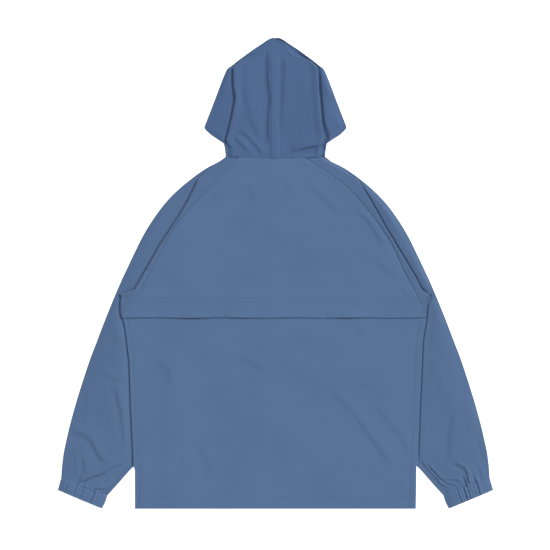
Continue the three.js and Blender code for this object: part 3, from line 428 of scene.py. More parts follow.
SLEEVE_CREASES = {
    "left": [
        ([(-412, 53), (-383, 66), (-358, 75), (-337, 89), (-314, 95)], 1.5, -2.8, 0.4, (0.08, 0.4)),
        (LEFT_CUFF_FOLD, 1.4, -2.0, 0.4, (0.15, 0.2)),
        ([(-322, 340), (-330, 372), (-338, 400)], 9, 0.9, 0.3, (0.4, 0.4)),
        ([(-375, 250), (-392, 205), (-402, 160)], 11, 0.9, 0.3, (0.5, 0.4)),
    ],
    "right": [
        (LONG_CUFF_FOLD, 1.4, -1.8, 0.4, (0.1, 0.2)),
        (OUTER_CUFF_FOLD, 1.5, -1.6, 0.4, (0.2, 0.2)),
        (SHORT_CUFF_FOLD, 1.5, -1.5, 0.4, (0.2, 0.3)),
        ([(387, 89), (398, 81), (402, 66), (406, 48)], 1.6, -1.6, 0.3, (0.4, 0.1)),
        ([(408, 250), (412, 200), (402, 150)], 12, 0.7, 0.3, (0.5, 0.4)),
        ([(330, 300), (350, 262), (352, 225)], 8, 0.7, 0.4, (0.4, 0.4)),
        ([(336, 380), (345, 410), (340, 432)], 9, 0.8, 0.3, (0.4, 0.4)),
    ],
}


# ---- walls ----

pieces = {}


def to_frame(points):
    """Garment millimetres to the frame's metres."""
    points = np.array(points, float)
    points[..., 1] -= MIDDLE_Y
    return points / 1000


def mesh_object(name, points, faces, material, replaces=(), smooth_to=50):
    """A piece of four-sided faces, turned to face out, that rides on the jacket."""
    points = np.array(points, float)
    points[:, 2] = np.maximum(points[:, 2], LEAST_HEIGHT)
    used, faces = np.unique(faces, return_inverse=True)
    faces = faces.reshape(-1, 4)
    points = points[used]
    a, b, c, d = (points[faces[:, n]] for n in range(4))
    volume = (a * np.cross(b, c)).sum() + (a * np.cross(c, d)).sum()
    if volume < 0:
        faces = faces[:, ::-1]
    mesh = bpy.data.meshes.new(name)
    mesh.from_pydata(to_frame(points).tolist(), [], faces.tolist())
    mesh.validate()
    mesh.polygons.foreach_set("use_smooth", [True] * len(mesh.polygons))
    if smooth_to:
        mesh.set_sharp_from_angle(angle=math.radians(smooth_to))
    mesh.materials.append(material)
    piece = bpy.data.objects.new(name, mesh)
    bpy.context.scene.collection.objects.link(piece)
    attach(piece, "jacket")
    if replaces:
        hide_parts(*replaces)
    pieces[name] = piece


def cloth(name, grid, material, replaces=(), present=None, thickness=CLOTH, ring=False):
    """Closed thin shell around a grid of points on the middle of the cloth."""
    rows, columns = grid.shape[:2]
    if ring:
        across = np.roll(grid, -1, 1) - np.roll(grid, 1, 1)
    else:
        padded = np.concatenate([grid[:, :1], grid, grid[:, -1:]], 1)
        across = padded[:, 2:] - padded[:, :-2]
    padded = np.concatenate([grid[:1], grid, grid[-1:]], 0)
    along = padded[2:] - padded[:-2]
    normal = np.cross(across, along)
    size = np.linalg.norm(normal, axis=2, keepdims=True)
    normal = normal / np.maximum(size, 1e-9)
    half = np.broadcast_to(np.asarray(thickness, float) / 2, (rows, columns))[..., None]
    points = np.concatenate([(grid + normal * half).reshape(-1, 3), (grid - normal * half).reshape(-1, 3)])
    cell_columns = columns if ring else columns - 1
    filled = np.ones((rows - 1, cell_columns), bool) if present is None else present
    number = np.arange(rows * columns).reshape(rows, columns)
    wrapped = np.concatenate([number, number[:, :1]], 1) if ring else number
    a, b = wrapped[:-1, :-1], wrapped[:-1, 1:]
    d, c = wrapped[1:, :-1], wrapped[1:, 1:]
    low = rows * columns
    empty_row = np.zeros((1, cell_columns), bool)
    up = np.concatenate([empty_row, filled[:-1]])
    down = np.concatenate([filled[1:], empty_row])
    if ring:
        left, right = np.roll(filled, 1, 1), np.roll(filled, -1, 1)
    else:
        empty_column = np.zeros((rows - 1, 1), bool)
        left = np.concatenate([empty_column, filled[:, :-1]], 1)
        right = np.concatenate([filled[:, 1:], empty_column], 1)
    quads = [np.stack([a, b, c, d], -1)[filled], np.stack([d, c, b, a], -1)[filled] + low]
    for side, p, q in ((up, a, b), (right, b, c), (down, c, d), (left, d, a)):
        edge = filled & ~side
        quads.append(np.stack([q[edge], p[edge], p[edge] + low, q[edge] + low], -1))
    mesh_object(name, points, np.concatenate(quads), material, replaces)


def refine(grid, spacing):
    """More rows between those given, and for each new strip the old one that it lies in."""
    gaps = np.linalg.norm(np.diff(grid, axis=0), axis=2).mean(axis=1)
    at = np.concatenate([[0], np.cumsum(gaps)])
    wanted, strips = [], []
    for i, gap in enumerate(gaps):
        count = max(1, math.ceil(gap / spacing[i]))
        wanted += list(at[i] + gap * np.arange(count) / count)
        strips += [i] * count
    wanted.append(at[-1])
    return smooth(at, grid, np.array(wanted)), np.array(strips)


def steps(start, end, step, extra=()):
    """Even steps, with the extra values put in."""
    count = max(2, math.ceil(abs(end - start) / step) + 1)
    values = set(np.round(np.linspace(start, end, count), 4))
    low, high = min(start, end), max(start, end)
    for value in extra:
        if low < value < high:
            values = {v for v in values if abs(v - value) > 0.3 or v in (start, end)}
            values.add(value)
    return np.array(sorted(values, reverse=end < start))


def edge_steps(start, end, count, fine=(0.6, 1.3, 2.2, 3.6)):
    """Positions from start to end, with closer ones beside both ends."""
    sign = 1 if end > start else -1
    inner = np.linspace(start + sign * 6, end - sign * 6, count)
    first = [start] + [start + sign * f for f in fine]
    last = [end - sign * f for f in reversed(fine)] + [end]
    return np.concatenate([first, inner, last])


def fold_run(top, middle, low, turn, depth, reach, arc=7):
    """Section of a pleat: down through the turn, back by the depth, and level again."""
    if turn == 0:
        share = np.linspace(0, 1, 2 * arc)
        return row_of(reach * (share - 1), top + (low - top) * smoothstep(share))
    upper, lower = (top - middle) / 2, (middle - low) / 2
    angle = math.radians(turn)
    curved = (upper + lower) * (1 - math.cos(angle))
    straight = depth if turn == 180 else (top - low - curved) / math.sin(angle)
    heading = np.linspace(0, angle, arc)
    first = row_of(
        -(upper + WALL / 2) + upper * np.sin(heading), top - upper * (1 - np.cos(heading)))
    start = first[-1] + straight * np.array([math.cos(angle), -math.sin(angle)])
    back = heading[::-1]
    second = row_of(
        start[0] + lower * (math.sin(angle) - np.sin(back)),
        start[1] - lower * (np.cos(back) - math.cos(angle)))
    return np.concatenate([first, second])


def lies_flat(turn):
    """From 0 where a pleat stands upright to 1 where it lies flat."""
    return float(smoothstep((turn - 90) / 90))


def edge_turn(edge, upper, lower, count=7):
    """Section of an outer edge: half round, from the upper level to the lower."""
    radius = (upper - lower) / 2
    share = np.linspace(0, 1, count)
    return row_of(
        edge - WALL / 2 - radius + radius * np.sin(math.pi * share),
        upper - radius * (1 - np.cos(math.pi * share)))


def row_of(x, y, *levels):
    """Points in a row. What is given as one number holds for all of them."""
    return np.stack(np.broadcast_arrays(x, y, *levels), 1)


def crossing(start, slope, edge, limit):
    """Where a line from the start meets the edge x(y), by halving."""
    inside, beyond = start[0], limit
    sign = np.sign(limit - start[0])
    for _ in range(40):
        half = (inside + beyond) / 2
        if sign * (half - float(edge(start[1] + (half - start[0]) * slope))) > 0:
            beyond = half
        else:
            inside = half
    return np.array([inside, start[1] + (inside - start[0]) * slope])


def mirrored(grid, side):
    """The grid in its place; all pieces are worked out for the right side."""
    return grid * np.array([SIGN[side], 1, 1])


# ---- materials ----

WAVE_PERIOD = 0.314  # metres between the bands of a wave texture whose scale is 1


def node(tree, kind, sockets=None, **settings):
    """A shader node with its settings and the values of its sockets."""
    made = tree.nodes.new(kind)
    for key, value in settings.items():
        setattr(made, key, value)
    for socket, value in (sockets or {}).items():
        made.inputs[socket].default_value = value
    return made


def link(tree, source, output, target, socket):
    tree.links.new(source.outputs[output], target.inputs[socket])


def new_material(name, sockets):
    """A material with its tree, its shader and the object's coordinates."""
    material = bpy.data.materials.new(name)
    material.use_nodes = True
    tree = material.node_tree
    shader = tree.nodes["Principled BSDF"]
    for socket, value in sockets.items():
        shader.inputs[socket].default_value = value
    return material, tree, shader, node(tree, "ShaderNodeTexCoord")


def texture(tree, place, kind, sockets, **settings):
    made = node(tree, kind, sockets, **settings)
    link(tree, place, "Object", made, "Vector")
    return made


def two_tones(tree, factor, dark, light):
    """Colour between two tones, as the factor says."""
    shade = node(tree, "ShaderNodeMix", {6: (*dark, 1), 7: (*light, 1)}, data_type="RGBA")
    link(tree, factor, "Fac", shade, 0)
    return shade


def vary_roughness(tree, factor, shader, least, most):
    rough = node(tree, "ShaderNodeMapRange", {"To Min": least, "To Max": most})
    link(tree, factor, "Fac", rough, "Value")
    link(tree, rough, "Result", shader, "Roughness")


def relief_of(tree, source, output, strength, distance):
    made = node(tree, "ShaderNodeBump", {"Strength": strength, "Distance": distance})
    link(tree, source, output, made, "Height")
    return made


def woven(name, colour, thread=0.00055, grain=0.11, bump=0.2, roughness=0.78, sheen=0.25):
    """Plain-woven polyester: two crossed bands of threads, uneven yarn and a slight crinkle."""
    material, tree, shader, place = new_material(name, {
        "Metallic": 0, "Sheen Weight": sheen, "Sheen Roughness": 0.45, "Specular IOR Level": 0.3,
    })
    bands = {"Scale": WAVE_PERIOD / thread, "Distortion": 1.2, "Detail": 1.0, "Detail Scale": 0.35}
    weave = node(tree, "ShaderNodeMath", operation="MULTIPLY")
    for socket, direction in enumerate(("X", "Y")):
        wave = texture(
            tree, place, "ShaderNodeTexWave", bands, wave_type="BANDS", bands_direction=direction)
        link(tree, wave, "Fac", weave, socket)
    yarn = texture(tree, place, "ShaderNodeTexNoise", {"Scale": 900, "Detail": 3})
    broad = texture(tree, place, "ShaderNodeTexNoise", {"Scale": 7, "Detail": 4})
    crinkle = texture(
        tree, place, "ShaderNodeTexNoise", {"Scale": 95, "Detail": 5, "Roughness": 0.55})

    shade = two_tones(
        tree, yarn, [c * (1 - grain) for c in colour], [min(c * (1 + grain), 1) for c in colour])
    uneven = node(tree, "ShaderNodeMapRange", {
        "From Min": 0.3, "From Max": 0.7, "To Min": 0.965, "To Max": 1.035,
    })
    link(tree, broad, "Fac", uneven, "Value")
    tone = node(tree, "ShaderNodeMix", {0: 1}, data_type="RGBA", blend_type="MULTIPLY")
    link(tree, shade, 2, tone, 6)
    link(tree, uneven, "Result", tone, 7)
    link(tree, tone, 2, shader, "Base Color")
    vary_roughness(tree, yarn, shader, roughness - 0.06, roughness + 0.06)

    threads = relief_of(tree, weave, "Value", bump, 0.00012)
    soft = relief_of(tree, crinkle, "Fac", 0.35, 0.0004)
    link(tree, threads, "Normal", soft, "Normal")
    link(tree, soft, "Normal", shader, "Normal")
    return material


def thread_material(name, colour):
    """Sewing thread: a fine slanted twist along its length."""
    material, tree, shader, place = new_material(name, {"Sheen Weight": 0.2, "Roughness": 0.6})
    twist = texture(tree, place, "ShaderNodeTexWave", {"Scale": WAVE_PERIOD / 0.0004},
                    wave_type="BANDS", bands_direction="DIAGONAL")
    shade = two_tones(tree, twist, [c * 0.82 for c in colour], [c * 1.12 for c in colour])
    link(tree, shade, 2, shader, "Base Color")
    link(tree, relief_of(tree, twist, "Fac", 0.4, 0.00008), "Normal", shader, "Normal")
    return material


def hard(name, colour, roughness, metallic, wear=0.08, scale=500):
    """Moulded plastic or metal with a faint speckle, rubbed lighter in places."""
    material, tree, shader, place = new_material(name, {"Metallic": metallic})
    speckle = texture(tree, place, "ShaderNodeTexNoise", {"Scale": scale, "Detail": 5})
    shade = two_tones(tree, speckle, [c * (1 - wear) for c in colour],
                      [min(c * (1 + 2 * wear), 1) for c in colour])
    link(tree, shade, 2, shader, "Base Color")
    vary_roughness(tree, speckle, shader, roughness - 0.1, roughness + 0.12)
    link(tree, relief_of(tree, speckle, "Fac", 0.12, 0.00005), "Normal", shader, "Normal")
    return material


BLUE = (0.070, 0.130, 0.252)
# painted shade: the hood's blue is the shell's blue made darker, to stand in for the shade that falls on
# the hood
HOOD_PAINTED_SHADE_BLUE = (0.054, 0.106, 0.224)
# painted shade: the sleeves' blue is the shell's blue made a little darker, to stand in for the shade on
# the sleeves
SLEEVE_PAINTED_SHADE_BLUE = (0.0665, 0.1235, 0.239)
TAPE_BLUE = (0.062, 0.112, 0.215)
THREAD_BLUE = (0.066, 0.118, 0.222)
TEETH_BLUE = (0.055, 0.1, 0.2)
GUNMETAL = (0.34, 0.35, 0.37)
shell = woven("shell_cloth", BLUE)
# the hood's own cloth carries that painted shade; it is the same fabric as the shell
hood_shell_painted_shade = woven("hood_cloth_painted_shade", HOOD_PAINTED_SHADE_BLUE)
# the sleeves' own cloth carries that painted shade; it is the same fabric as the shell
sleeve_shell_painted_shade = woven("sleeve_cloth_painted_shade", SLEEVE_PAINTED_SHADE_BLUE)
tape_weave = woven("tape_cloth", TAPE_BLUE, thread=0.0009, bump=0.5, roughness=0.85)
thread = thread_material("thread", THREAD_BLUE)
teeth_plastic = hard("teeth_plastic", TEETH_BLUE, 0.45, 0.0)
metal = hard("zip_metal", GUNMETAL, 0.32, 1.0, scale=900)


# ---- shell pieces ----

HEM_EDGE_ROWS = [0.7, 1.6]  # rows of points close to the hem's edge
BACK_COLUMNS, FRONT_COLUMNS = 150, 44  # points across, besides the close ones at both ends
YOKE_STEP, LOWER_STEP, FRONT_STEP = 3.3, 3.7, 6  # between their rows
TAB_ROWS = (444, 447, 451, 456)  # rows of the fronts at the underarm
FRONT_TOP_ROWS = (684, 689.5)
RAGLAN_SLANT = 0.8  # distance square to the raglan seam, for one across
# x, half width and height of each place where the flap's edge stands off
FLAP_LIFT = (
    (-222, 17, 1.5), (-171, 26, 2.3), (-84, 30, 1.5), (20, 60, 0.5), (160, 24, 2.3),
    (228, 20, 0.7), (282, 15, 0.6), (-268, 14, 0.4),
)


def within(relief, room):
    """Keeps troughs within the room below the cloth."""
    return np.where(relief < 0, -room * np.tanh(-relief / room), relief)


def raglan_groove(y):
    """How deep the raglan seam draws the cloth in, which is less near the underarm."""
    return 0.4 + 0.4 * smoothstep((y - UNDERARM_Y + 6) / 30)


def seam_ridge(distance, height):
    """The low ridge that the allowance under the cloth makes beside a seam."""
    return height * bell(distance - 3.5, 2.2)


def flap_lift(x):
    """How far the flap's edge stands off between its bartacks."""
    lift = 0.6 + 0 * x
    for centre, width, height in FLAP_LIFT:
        lift = lift + height * bell(x - centre, width)
    for tack in BARTACKS:
        lift = lift - lift * 0.95 * bell(x - tack, TACK_REACH)
    return lift


def yoke_surface(x, height, y, seam_distance):
    """Height of the upper back's cloth; height is the level that y has before the neck's curve."""
    z = back_level(x, height)
    calm = smoothstep(seam_distance / 12) * smoothstep((NECK_Y - height) / 12)
    gap = np.minimum(raglan["left"](y) + x, raglan["right"](y) - x)
    room = 0.7 + 2.2 * smoothstep((gap - 40) / 30)
    relief = crease_field(x, y, YOKE_CREASES) + fold_field(x, y, YOKE_FOLDS)
    relief += undulation(x, y, 11, 170, 0.4)
    relief += undulation(x, y, 12, 60, 0.12)
    z = z + within(relief, room) * calm
    hem = smoothstep((FLAP_EDGE_Y + 26 - height) / 26)
    z += flap_lift(x) * hem ** 2
    for row in FLAP_STITCHES:
        z -= STITCH_DIP * bell(height - row, STITCH_HALF)
        z += pucker(x, np.abs(height - row), 31 + row, 0.1, 5)
    above_end = smoothstep((height - RAGLAN_END_Y) / 20)
    groove = np.where(height < RAGLAN_END_Y, 0.3, raglan_groove(height) * above_end)
    z -= groove * bell(seam_distance, SEAM_HALF)
    z += seam_ridge(seam_distance, 0.12)
    deeper = 0.6 + 0.7 * smoothstep((np.abs(x) - 55) / 30)
    z -= deeper * bell(NECK_Y - height, 1.5)
    return z


def back_yoke():
    near_rows = [row + d for row in FLAP_STITCHES for d in BESIDE_STITCHES]
    near_rows += [FLAP_EDGE_Y + d for d in (0.6, 1.4, 2.6)] + [NECK_Y - d for d in (0.7, 1.6, 2.8)]
    heights = steps(FLAP_EDGE_Y, NECK_Y, YOKE_STEP, near_rows + [RAGLAN_END_Y - 0.4, RAGLAN_END_Y])
    grid = []
    for height in heights:
        share = smoothstep((height - 690) / (NECK_Y - 690))

        def end(side):
            def edge(y):
                return body_side[side](y) - SEAM if y < RAGLAN_END_Y else yoke_seam[side](y)
            x = edge(height)
            for _ in range(3):
                x = edge(height + share * (neck_seam(x) - NECK_Y))
            return float(x)

        left, right = end("left"), end("right")
        x = edge_steps(-left, right, BACK_COLUMNS)
        y = height + share * (neck_seam(x) - NECK_Y)
        distance = np.minimum(x + left, right - x) * RAGLAN_SLANT
        z = yoke_surface(x, height, y, distance)
        if height < FLAP_EDGE_Y + 12:
            y = y + 0.5 * np.sin(x / 23) * smoothstep((FLAP_EDGE_Y + 12 - height) / 12)
        grid.append(row_of(x, y, z))
    grid = np.array(grid)
    thickness = np.where(heights < FLAP_STITCHES[0], HEM_CLOTH, CLOTH)[:, None]
    cloth("back_yoke_cloth", grid, shell, ["back_yoke"], thickness=thickness)


def lower_relief(x, y):
    """Folds, hem and puckers of the lower back."""
    room = 0.55 + 2.2 * smoothstep((sleeve_inner(y) - 60 - np.abs(x)) / 40)
    relief = crease_field(x, y, LOWER_CREASES) + fold_field(x, y, LOWER_FOLDS)
    relief += undulation(x, y, 21, 190, 0.45)
    relief += undulation(x, y, 22, 70, 0.12)
    relief = within(relief, room) * smoothstep((FLAP_EDGE_Y - 2 - y) / 25)
    for row in HEM_STITCHES:
        relief -= STITCH_DIP * bell(y - row, STITCH_HALF)
        relief += pucker(x, np.abs(y - row), 51 + row, 0.12, 6)
    return relief + 0.35 * smoothstep((24 - y) / 24) * (1 + undulation(x, 0 * y, 23, 120, 0.8))


def back_lower():
    near_rows = [row + d for row in HEM_STITCHES for d in BESIDE_STITCHES] + HEM_EDGE_ROWS
    heights = steps(0, BACK_LOWER_TOP_Y, LOWER_STEP, near_rows)
    grid = []
    for y in heights:
        left = float(body_side["left"](y)) - SIDE_SEAM_IN["left"] - 0.1
        right = float(body_side["right"](y)) - SIDE_SEAM_IN["right"] - 0.1
        x = edge_steps(-left, right, BACK_COLUMNS)
        distance = np.minimum(x + left, right - x)
        z = BACK + lower_relief(x, y + 0 * x) * smoothstep((distance + 3) / 8)
        z -= 0.8 * bell(y - FLAP_EDGE_Y + 1, 2.2) * smoothstep(distance / 12)
        z -= 0.4 * bell(distance, SEAM_HALF)
        grid.append(row_of(x, y, z))
    thickness = np.where(heights < HEM_STITCHES[1], HEM_CLOTH, CLOTH)[:, None]
    cloth("back_lower_cloth", np.array(grid), shell, ["back_lower"], thickness=thickness)


def front(side):
    seed = 71 if side == "left" else 72
    near_rows = HEM_EDGE_ROWS + [row + d for row in HEM_STITCHES for d in BESIDE_STITCHES[1:-1]]
    low = steps(0, BACK_LOWER_TOP_Y, FRONT_STEP, near_rows)
    upper = steps(TAB_ROWS[-1], FRONT_TOP_ROWS[0], FRONT_STEP, [FRONT_NECK_Y - 0.5])[1:]
    heights = np.concatenate([low, TAB_ROWS, upper, FRONT_TOP_ROWS[1:]])
    wrap, turn, over_sleeve, ramp = 4, 9, 5, 7
    grid = []
    for y in heights:
        side_edge = float(body_side[side](y))
        turned = edge_turn(side_edge, BACK, float(front_level(side_edge - 2, y)), turn)
        seam = side_edge - SIDE_SEAM_IN[side] + 0.1
        start = turned[-1, 0]
        inner_edge = float(sleeve_inner(y))
        flat_end = min(inner_edge - 5, start - 3)
        ramp_end = min(inner_edge - 27, start - 12)
        outer = float(front_seam(y)) if y > UNDERARM_Y else ramp_end
        if BACK_LOWER_TOP_Y <= y <= UNDERARM_Y:
            outer = min(inner_edge + 4, start - 1)
        inner = float(front_neck(y)) + 0.1 if y > FRONT_NECK_Y else ZIP_GAP
        across = edge_steps(outer, inner, FRONT_COLUMNS, (0.6, 1.5, 3))
        if outer - inner < 12:
            across = np.linspace(outer, inner, len(across))
        x = np.concatenate([
            np.linspace(start, flat_end, over_sleeve + 1)[1:],
            np.linspace(flat_end, outer, ramp + 2)[1:-1], across,
        ])
        wrapped = np.linspace(seam, turned[0, 0], wrap + 1)[:-1]
        top_relief = lower_relief(SIGN[side] * wrapped, y + 0 * wrapped) if y < BACK_LOWER_TOP_Y else 0
        distance = np.abs(wrapped - seam)
        top = BACK + top_relief * smoothstep((distance + 3) / 8) - 0.6 * bell(distance, SEAM_HALF)
        soft = smoothstep((x - 24) / 40) * smoothstep((outer - x) / 25 + (0 if y > UNDERARM_Y else 1))
        room = smoothstep((sleeve_inner(y) - 30 - x) / 30) if y < 456 else 1
        lift = np.maximum(undulation(x, y + 0 * x, seed, 210, 0.9) + 0.5, 0) * soft * room
        z = front_level(x, y) + lift
        z += 0.5 * bell(np.minimum(x - inner, 90), 1.3) * (y > FRONT_NECK_Y)
        grid.append(np.concatenate([
            row_of(wrapped, y, top), row_of(turned[:, 0], y, turned[:, 1]), row_of(x, y, z),
        ]))
    grid = np.array(grid)
    present = np.ones((len(heights) - 1, grid.shape[1] - 1), bool)
    present[heights[:-1] >= BACK_LOWER_TOP_Y, : wrap + turn + over_sleeve + ramp] = False
    cloth(f"front_{side}_cloth", mirrored(grid, side), shell, [f"front_{side}"], present=present)


CUFF_GATHER = 2.7  # how high its gathers stand
UNDER_GATHER = 0.7  # and those of its lower layer
SEAM_TUCK = 1.3  # the cuff's seam lies this far under the sleeve's end
SLEEVE_GATHER = 2.8  # how high the gathers stand in the end of the sleeve
# place across the cuff from its inner end, depth, half width
CUFF_GATHERS = {
    "left": (
        (0.28, 1.9, 0.022), (0.13, 0.5, 0.02), (0.52, 0.7, 0.02), (0.66, 0.8, 0.018), (0.84, 0.6, 0.02),
    ),
    "right": (
        (0.29, 0.75, 0.02), (0.425, 1.1, 0.02), (0.5, 0.8, 0.016), (0.71, 1.0, 0.019),
        (0.86, 0.3, 0.02),
    ),
}


def cuff_wave(share, side):
    """Uneven gathers across a cuff, from 0 to 1."""
    shift = 0.4 if side == "left" else 2.1
    turns = 14.5 * (share + 0.018 * np.sin(11 * share + shift) + 0.008 * np.sin(37 * share + 3 * shift))
    wave = 0.5 + 0.5 * np.cos(2 * math.pi * turns + shift)
    size = 0.62 + 0.3 * np.sin(17 * share + shift) + 0.18 * np.sin(41 * share + shift)
    wave = 0.55 + 0.24 * np.clip(wave, 0, 1) ** 0.8 * np.clip(size, 0.25, 1.1)
    # the ridge beside a gather lies away from the body on the right, and towards it on the left
    fold = 1.6 * SIGN[side]
    for place, depth, width in CUFF_GATHERS[side]:
        offset = (share - place) / width
        wave = wave + depth * (0.32 * bell(offset - fold, 1) - 0.5 * bell(offset, 1))
    return np.clip(wave, 0, 1.1)


def cuff_ends(share):
    """Outer and inner end of the cuff's line, from its seam at 0 to its hem at 1."""
    return [smooth([0, 0.5, 1], np.array([row[n] for row in CUFF], float), share) for n in range(2)]


CUFF_OUTER, CUFF_INNER = cuff_ends(0)
CUFF_WIDTH = float(np.linalg.norm(CUFF_OUTER - CUFF_INNER))
CUFF_ALONG = (CUFF_OUTER - CUFF_INNER) / CUFF_WIDTH


def sleeve_gathers(x, y, side):
    """Gathers that run from the cuff into the end of the sleeve."""
    offset_x, offset_y = x - CUFF_INNER[0], y - CUFF_INNER[1]
    share = (offset_x * CUFF_ALONG[0] + offset_y * CUFF_ALONG[1]) / CUFF_WIDTH
    away = -offset_x * CUFF_ALONG[1] + offset_y * CUFF_ALONG[0]
    fading = np.exp(-np.maximum(away, 0) / (9 + 7 * np.sin(13 * share)))
    inside = smoothstep(share / 0.06) * smoothstep((1 - share) / 0.06)
    wave = np.maximum(cuff_wave(np.clip(share, 0, 1), side) - 0.4, -0.2)
    return SLEEVE_GATHER * wave * fading * inside


def stand_up(s, edge, end, slit):
    """Height of the cloth beside an edge that lies on it, which leaves a narrow slit."""
    start, run, height = slit
    rise = smoothstep((s - edge - start) / run) * smoothstep((end - s) / 12)
    return height * rise * bell(np.maximum(s - edge - start - run, 0), 34)


# points round a sleeve: on its top, pleat, upper layer, outer edge, lower layer and inner edge
SLEEVE_TOP, SLEEVE_PLEAT_RUN, SLEEVE_UPPER = 8, 14, 72
SLEEVE_TURN, SLEEVE_LOWER, SLEEVE_INNER_TURN = 7, 12, 10
SLEEVE_SEAM_IN = 9.0  # how far the side of the body lies inside a sleeve's inner edge
SLEEVE_LIMIT_X = 480  # beyond a sleeve's outer edge
SLEEVE_ROOM = 2.8  # its troughs stay less deep than this
LOFT_PER_WIDTH = 0.05
PLEAT_Y = (447, 737)  # lowest and highest end of the pleat
FRONT_SEAM_Y = (447.3, 690.5)  # and of the seam to the front
FINE_BELOW_Y = 190  # the rows are close together where the cuff gathers the sleeve
FINE_SPACING, SLEEVE_SPACING = 2.2, 4.6
EDGE_FADE = 9  # folds fade out over this run at a sleeve's outer edge
HIDDEN_LIMIT = 20  # where the body hides more of a sleeve than this, its inner seam makes no groove


def point_rows(origin, direction, parts):
    """Points on a line. A part gives how far along, how high, and what share of the folds."""
    return np.concatenate([
        row_of(origin[0] + direction[0] * s, origin[1] + direction[1] * s, z, weight)
        for s, z, weight in parts
    ])


def pleat_row(side, entry):
    """Points round a sleeve where it goes up to the raglan seam and its pleat lies on it."""
    y, fold_x, tilt, turned_by, depth = entry[0], entry[1 + SIDES.index(side)], *entry[3:]
    slope = math.tan(math.radians(tilt))
    fold = np.array([fold_x, y], float)
    seam = crossing(fold, slope, sleeve_seam[side], 0)
    outer = crossing(fold, slope, sleeve_edge, SLEEVE_LIMIT_X)
    share = (y - PLEAT_Y[0]) / (PLEAT_Y[1] - PLEAT_Y[0])
    front_y = FRONT_SEAM_Y[0] + (FRONT_SEAM_Y[1] - FRONT_SEAM_Y[0]) * share
    under = np.array([float(moved(front_raglan, 0.1)(front_y)), front_y])
    direction = (outer - seam) / np.linalg.norm(outer - seam)
    seam_at, edge_at = -np.linalg.norm(fold - seam), np.linalg.norm(fold - outer)
    level = float(back_level(*fold))
    level += PLEAT_LIFT[side] * float(smoothstep(turned_by / 180))
    run = fold_run(level, TUCK, UNDER, turned_by, depth, 0)
    turned = edge_turn(edge_at, UNDER, FLOOR, SLEEVE_TURN)
    seam_level = float(back_level(*seam))
    across = np.linspace(0, 1, SLEEVE_TOP + 1)[:-1]
    s_top = seam_at + (run[0, 0] - seam_at) * across ** 1.3
    z_top = seam_level + (level - seam_level) * across
    from_seam = s_top - seam_at
    groove = float(raglan_groove(seam[1]))
    z_top = z_top - groove * bell(from_seam, SEAM_HALF) + seam_ridge(from_seam, 0.1)
    begin, end = run[-1, 0], turned[0, 0]
    loft = min(SLEEVE_LOFT[side], LOFT_PER_WIDTH * max(end - 2, 0))
    s_up = begin + (end - begin) * np.linspace(0, 1, SLEEVE_UPPER + 1)[1:] ** 1.4
    share = np.clip((s_up - 3) / max(end - 3, 1), 0, 1) ** LOFT_SHIFT[side]
    puff = np.where(s_up > 3, loft * np.sin(math.pi * share), 0)
    puff[-1] = 0
    weight = smoothstep((s_up - 4) / 16) * smoothstep((end - s_up) / EDGE_FADE)
    puff += stand_up(s_up, 0, end, PLEAT_SLIT[side]) * lies_flat(turned_by)
    row = point_rows(fold, direction, [
        (s_top, z_top, 0), (run[:, 0], run[:, 1], 0), (s_up, UNDER + puff, weight),
        (turned[1:, 0], turned[1:, 1], 0),
    ])
    share = np.linspace(0, 1, SLEEVE_LOWER + 1)[1:, None]
    last = row[-1, :3]
    target = np.array([under[0], under[1], FLOOR])
    bottom = last + (target - last) * share
    bottom = np.concatenate([bottom, np.zeros((SLEEVE_LOWER, 1))], 1)
    return np.concatenate([row, bottom, np.repeat(bottom[-1:], SLEEVE_INNER_TURN, 0)])


